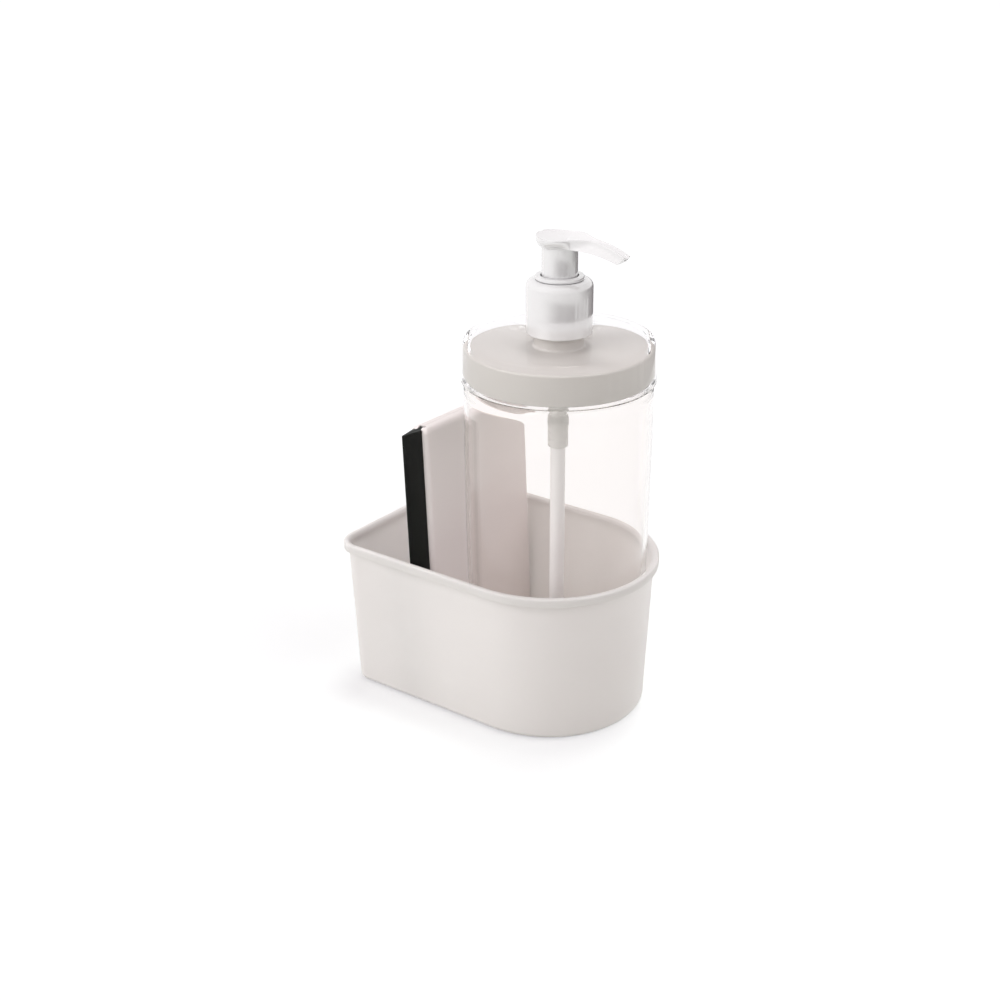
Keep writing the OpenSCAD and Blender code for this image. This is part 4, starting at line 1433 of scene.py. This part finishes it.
@dataclass
class Squeegee:
    """The small squeegee: two clipped shells that hold a rubber blade."""

    foot_x: float = -28.8
    foot_gap: float = 0.05
    lean: float = 2.3
    length: float = 146.2
    thick: float = 11.0
    half_w: float = 48.45
    grip_r: float = 13.0
    root_r: float = 3.0
    edge_r: float = 4.2
    root_edge_r: float = 2.7
    blade_out: float = 12.0
    blade_low: float = 1.8
    blade_high: float = 0.45
    blade_edge: float = 0.22
    blade_edge_angle: float = 35.0
    lip_t: float = 1.0
    root_t: float = 5.4
    tongue_t: float = 2.4
    tongue_l: float = 3.0
    bead_t: float = 4.0
    bead_l: float = 1.6
    slot_gap: float = 0.05
    slot_over: float = 5.0
    seam: float = 0.22
    corner_steps: int = 18
    edge_steps: int = 14
    blade_steps: int = 24

    @property
    def root_y(self) -> float:
        """Where the blade leaves the handle."""
        return -self.half_w + self.blade_out

    def stand(self) -> Matrix:
        """Returns the matrix that stands the squeegee on its end in the tub."""
        lift = self.thick / 2 * math.sin(math.radians(self.lean))
        shift = Matrix.Translation((self.foot_x, 0.0, AT.floor_z + self.foot_gap))
        tilt = Matrix.Rotation(math.radians(-self.lean), 4, "Y")
        return shift @ tilt @ Matrix.Translation((0.0, 0.0, lift))

    def ring(self, far_in: float, near_in: float, x: float) -> list[Vector]:
        """Returns the handle's outline, drawn in.

        Args:
            far_in: how far its corners at the grip are drawn in.
            near_in: how far its corners at the blade are drawn in.
            x: its distance from the handle's middle plane.

        Returns:
            A loop of points, in place.
        """
        far, near = self.half_w - self.grip_r, self.root_y + self.root_r
        loop: list[Point] = []
        for centre, radius, start in (
                ((far, self.length - self.grip_r), self.grip_r - far_in, 0),
                ((near, self.length - self.root_r), self.root_r - near_in, 90),
                ((near, self.root_r), self.root_r - near_in, 180),
                ((far, self.grip_r), self.grip_r - far_in, 270)):
            loop += arc(centre, radius, start, start + 90, self.corner_steps)
        stand = self.stand()
        return [stand @ Vector((x, y, z)) for y, z in loop]

    def blade_prism(self, name: str, grow: float, low: float, high: float, steps: int
                    ) -> bpy.types.Object:
        """Makes the blade's section run along the handle.

        Args:
            name: the object's name.
            grow: how far the section is grown, for a slot.
            low: the height of its lower end.
            high: the height of its upper end.
            steps: the number of its pieces.

        Returns:
            The prism, in place.
        """
        root, tongue, bead = self.root_y, self.tongue_t, self.bead_t
        neck = root + self.tongue_l
        side = [(thick / 2 + grow, y) for thick, y in (
            (self.lip_t, -self.half_w - grow), (self.root_t, root), (tongue, root),
            (tongue, neck - grow), (bead, neck - grow), (bead, neck + self.bead_l + grow))]
        outline = side + [(-x, y) for x, y in reversed(side)]
        stand = self.stand()
        heights = [low + (high - low) * i / steps for i in range(steps + 1)]
        return loft(name, [[stand @ Vector((x, y, z)) for x, y in outline] for z in heights])

    def shell(self, side: int, name: str, node: str) -> None:
        """Builds one shell of the handle.

        Args:
            side: 1 for the shell that faces the bottle and -1 for the other.
            name: the piece's name.
            node: the CAD node that it stands for.
        """
        half, far, near = self.thick / 2, self.edge_r, self.root_edge_r
        rings = [self.ring(self.seam, self.seam, 0.0), self.ring(0.0, 0.0, side * self.seam)]
        first = half - far
        for i in range(self.edge_steps + 1):
            x = first + far * math.sin(math.radians(90 * i / self.edge_steps))
            up = min(max((x - half + near) / near, 0.0), 1.0)
            far_in = far - far * math.sqrt(max(1 - ((x - first) / far) ** 2, 0.0))
            near_in = near - near * math.sqrt(max(1 - up * up, 0.0))
            rings.append(self.ring(far_in, near_in, side * x))
        piece, over = loft(name, rings), self.slot_over
        slot = self.blade_prism("slot", self.slot_gap, -over, self.length + over, 1)
        combine(piece, slot, Join.CUT)
        place(piece, Body.SQUEEGEE, Finishes.SQUEEGEE, node)

    def blade(self) -> None:
        """Builds the rubber blade with its tongue and bead."""
        piece = self.blade_prism("blade_rubber", 0.0, self.blade_low,
                                 self.length - self.blade_high, self.blade_steps)
        bevel = piece.modifiers.new("edges", "BEVEL")
        bevel.width = self.blade_edge * MM
        bevel.segments = 2
        bevel.limit_method = "ANGLE"
        bevel.angle_limit = math.radians(self.blade_edge_angle)
        settle(piece)
        place(piece, Body.SQUEEGEE, Finishes.BLADE, "squeegee_blade")

    def build(self) -> None:
        """Builds and dresses the squeegee."""
        self.shell(1, "squeegee_front_shell", "squeegee_front")
        self.shell(-1, "squeegee_back_shell", "squeegee_back")
        self.blade()


@dataclass
class InnerParts:
    """CAD nodes whose shapes stay: seals, stem, piston, its seat and the ball."""

    nodes: dict[str, bpy.types.Object]

    def build(self) -> None:
        """Dresses each node that stays."""
        for name, finish in {
                "lid_gasket": Finishes.SEAL, "pump_gasket": Finishes.SEAL,
                "stem": Finishes.NATURAL, "piston": Finishes.NATURAL,
                "piston_seat": Finishes.NATURAL, "inlet_ball": Finishes.STEEL}.items():
            for slot in self.nodes[name].material_slots:
                slot.material = finish.material()
            LOG.info("%s keeps its CAD shape", name)


# The studio


@dataclass
class Camera:
    """The photograph's camera."""

    lens: float = 55.47
    sensor: float = 36.0
    place: tuple[float, float, float] = (433.17, -592.48, 421.17)
    yaw: float = 36.832
    pitch: float = 23.244
    roll: float = 0.339
    clips: tuple[float, float] = (0.01, 100.0)

    def build(self) -> None:
        """Creates the camera and makes it the scene's own."""
        data = bpy.data.cameras.new("photo_camera")
        data.lens, data.sensor_width = self.lens, self.sensor
        data.clip_start, data.clip_end = self.clips
        camera = bpy.data.objects.new("photo_camera", data)
        turn = (Matrix.Rotation(math.radians(self.yaw), 4, "Z")
                @ Matrix.Rotation(math.radians(90 - self.pitch), 4, "X")
                @ Matrix.Rotation(math.radians(-self.roll), 4, "Z"))
        camera.matrix_world = Matrix.Translation(Vector(self.place) * MM) @ turn
        bpy.context.scene.collection.objects.link(camera)
        bpy.context.scene.camera = camera


@dataclass
class Studio:
    """A pale floor, a white surround, three soft suns and dark flags that only gloss shows.

    A sun or a flag is placed by azimuths and elevations in degrees.
    """

    sky: Colour = (0.42, 0.37, 0.375)
    floor_reach: float = 20000.0
    floor_colour: Colour = (0.84, 0.90, 0.85)
    floor_glow: Colour = (0.39, 0.38, 0.42)
    key_strength: float = 1.9
    key_from: Point = (245.0, 32.0)
    rim_strength: float = 0.7
    rim_from: Point = (18.0, 34.0)
    top_strength: float = 0.78
    top_from: Point = (100.0, 78.0)
    wide_sun: float = 60.0
    small_sun: float = 18.0
    flag_grey: Colour = (0.03, 0.02, 0.03)
    flag_far: float = 420.0
    flag_soft: float = 6.0
    flag_full_share: float = 0.25
    flag_steps: int = 12
    low_flag_turns: Point = (-112.0, 58.0)
    low_flag_heights: Point = (40.0, 116.0)
    side_flag_turns: Point = (0.0, 150.0)
    side_flag_heights: Point = (60.0, 240.0)

    def seen(self, graph: Graph) -> Value:
        """Returns 1 for rays that see the surround: camera, mirror and see-through rays."""
        camera, mirror, clear = (graph.value("ShaderNodeLightPath", out=f"Is {kind} Ray")
                                 for kind in ("Camera", "Glossy", "Transmission"))
        return camera.at_least(mirror).at_least(clear)

    def world(self) -> None:
        """Builds the world: white where it is seen, and a plain light elsewhere."""
        world = bpy.data.worlds.new("white_surround")
        graph = emptied(world)
        light, white = (graph.value("ShaderNodeBackground", {"Color": (*colour, 1.0)})
                        for colour in (self.sky, WHITE))
        both = graph.value("ShaderNodeMixShader", {0: self.seen(graph), 1: light, 2: white})
        graph.node("ShaderNodeOutputWorld", {"Surface": both})
        bpy.context.scene.world = world

    def staged(self, piece: bpy.types.Object, name: str) -> Graph:
        """Gives a stage piece a material of its own.

        Args:
            piece: the floor or a flag.
            name: the material's name.

        Returns:
            The material's empty graph.
        """
        material = bpy.data.materials.new(name)
        piece.data.materials.append(material)
        return emptied(material)

    def floor(self) -> bpy.types.Object:
        """Builds the floor, which keeps the shadow and is white elsewhere.

        Returns:
            The floor.
        """
        far = self.floor_reach
        floor = new_object("floor", [(-far, -far, 0), (far, -far, 0), (far, far, 0),
                                     (-far, far, 0)], [(0, 1, 2, 3)])
        graph = self.staged(floor, "pale_floor")
        matt = graph.value("ShaderNodeBsdfDiffuse", {"Color": (*self.floor_colour, 1.0)})
        glow = graph.value("ShaderNodeEmission", {"Color": (*self.floor_glow, 1.0),
                                                  "Strength": self.seen(graph)})
        both = graph.value("ShaderNodeAddShader", {0: matt, 1: glow})
        graph.node("ShaderNodeOutputMaterial", {"Surface": both})
        return floor

    def flag(self, name: str, turns: Point, heights: Point) -> None:
        """Stands a curved dark flag round the object, which only its gloss shows.

        Args:
            name: the flag's name.
            turns: the azimuths of its two ends.
            heights: the heights of its lower and upper edge.
        """
        line = arc((0.0, 0.0), self.flag_far, *turns, self.flag_steps)
        row = len(line)
        panel = new_object(name, [(x, y, z) for z in heights for x, y in line],
                           [(i, i + 1, row + i + 1, row + i) for i in range(row - 1)])
        graph = self.staged(panel, name + "_grey")
        place = graph.value("ShaderNodeTexCoord", out="Object")
        turn = graph.value("ShaderNodeTexGradient", {"Vector": place}, out="Fac",
                           gradient_type="RADIAL")
        half_turn, half_h = abs(turns[1] - turns[0]) / 720, MM * (heights[1] - heights[0]) / 2
        aside = abs(turn - (sum(turns) / 720 + 0.5))
        height = graph.value("ShaderNodeSeparateXYZ", {0: place}, out="Z")
        above = abs(height - MM * sum(heights) / 2)
        inside = graph.value("ShaderNodeLightPath", out="Transmission Depth")
        share = (graph.smooth(aside, self.flag_full_share * half_turn, half_turn)
                 + graph.smooth(above, half_h - MM * self.flag_soft, half_h)
                 + inside).at_most(1.0)
        dark = graph.value("ShaderNodeEmission", {
            "Color": graph.blend(share, self.flag_grey, WHITE)})
        graph.node("ShaderNodeOutputMaterial", {"Surface": dark})
        panel.visible_camera = panel.visible_diffuse = False
        panel.visible_transmission = panel.visible_shadow = False

    def sun(self, name: str, come_from: Point, width: float, strength: float
            ) -> bpy.types.Object:
        """Adds a soft sun, which lights near and far floor alike.

        Args:
            name: the sun's name.
            come_from: the azimuth and elevation that it shines from.
            width: the width of its disc, in degrees.
            strength: its strength.

        Returns:
            The lamp.
        """
        data = bpy.data.lights.new(name, "SUN")
        data.angle, data.energy = math.radians(width), strength
        lamp = bpy.data.objects.new(name, data)
        lamp.visible_glossy = False
        turn, lift = (math.radians(a) for a in come_from)
        aim = -Vector((math.cos(lift) * math.cos(turn), math.cos(lift) * math.sin(turn),
                       math.sin(lift)))
        lamp.matrix_world = aim.to_track_quat("-Z", "Y").to_matrix().to_4x4()
        bpy.context.scene.collection.objects.link(lamp)
        return lamp

    def keep_off(self, lamp: bpy.types.Object, piece: bpy.types.Object) -> None:
        """Keeps a lamp's light, and so its shadow, off a stage piece.

        Args:
            lamp: the lamp.
            piece: the stage piece that it leaves alone.
        """
        left_out = bpy.data.collections.new(lamp.name + "_leaves_out")
        left_out.objects.link(piece)
        left_out.collection_objects[0].light_linking.link_state = "EXCLUDE"
        lamp.light_linking.receiver_collection = left_out

    def build(self) -> None:
        """Builds the studio."""
        bpy.context.scene.view_settings.view_transform = "Standard"
        self.world()
        floor = self.floor()
        self.flag("low_flag", self.low_flag_turns, self.low_flag_heights)
        self.flag("side_flag", self.side_flag_turns, self.side_flag_heights)
        self.keep_off(self.sun("key", self.key_from, self.wide_sun, self.key_strength), floor)
        self.sun("rim", self.rim_from, self.wide_sun, self.rim_strength)
        self.sun("top", self.top_from, self.small_sun, self.top_strength)


def main() -> None:
    """Loads the frame, builds each sub-assembly in turn and sets the studio."""
    logging.basicConfig(level=logging.INFO, format="%(name)s: %(message)s")
    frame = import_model()
    for part in (Camera(), Tub(), Bottle(), Lid(), Pump(), Head(), Squeegee(),
                 InnerParts(frame["nodes"]), Studio()):
        part.build()
        LOG.info("%s is ready", type(part).__name__)


if __name__ == "__main__":
    main()
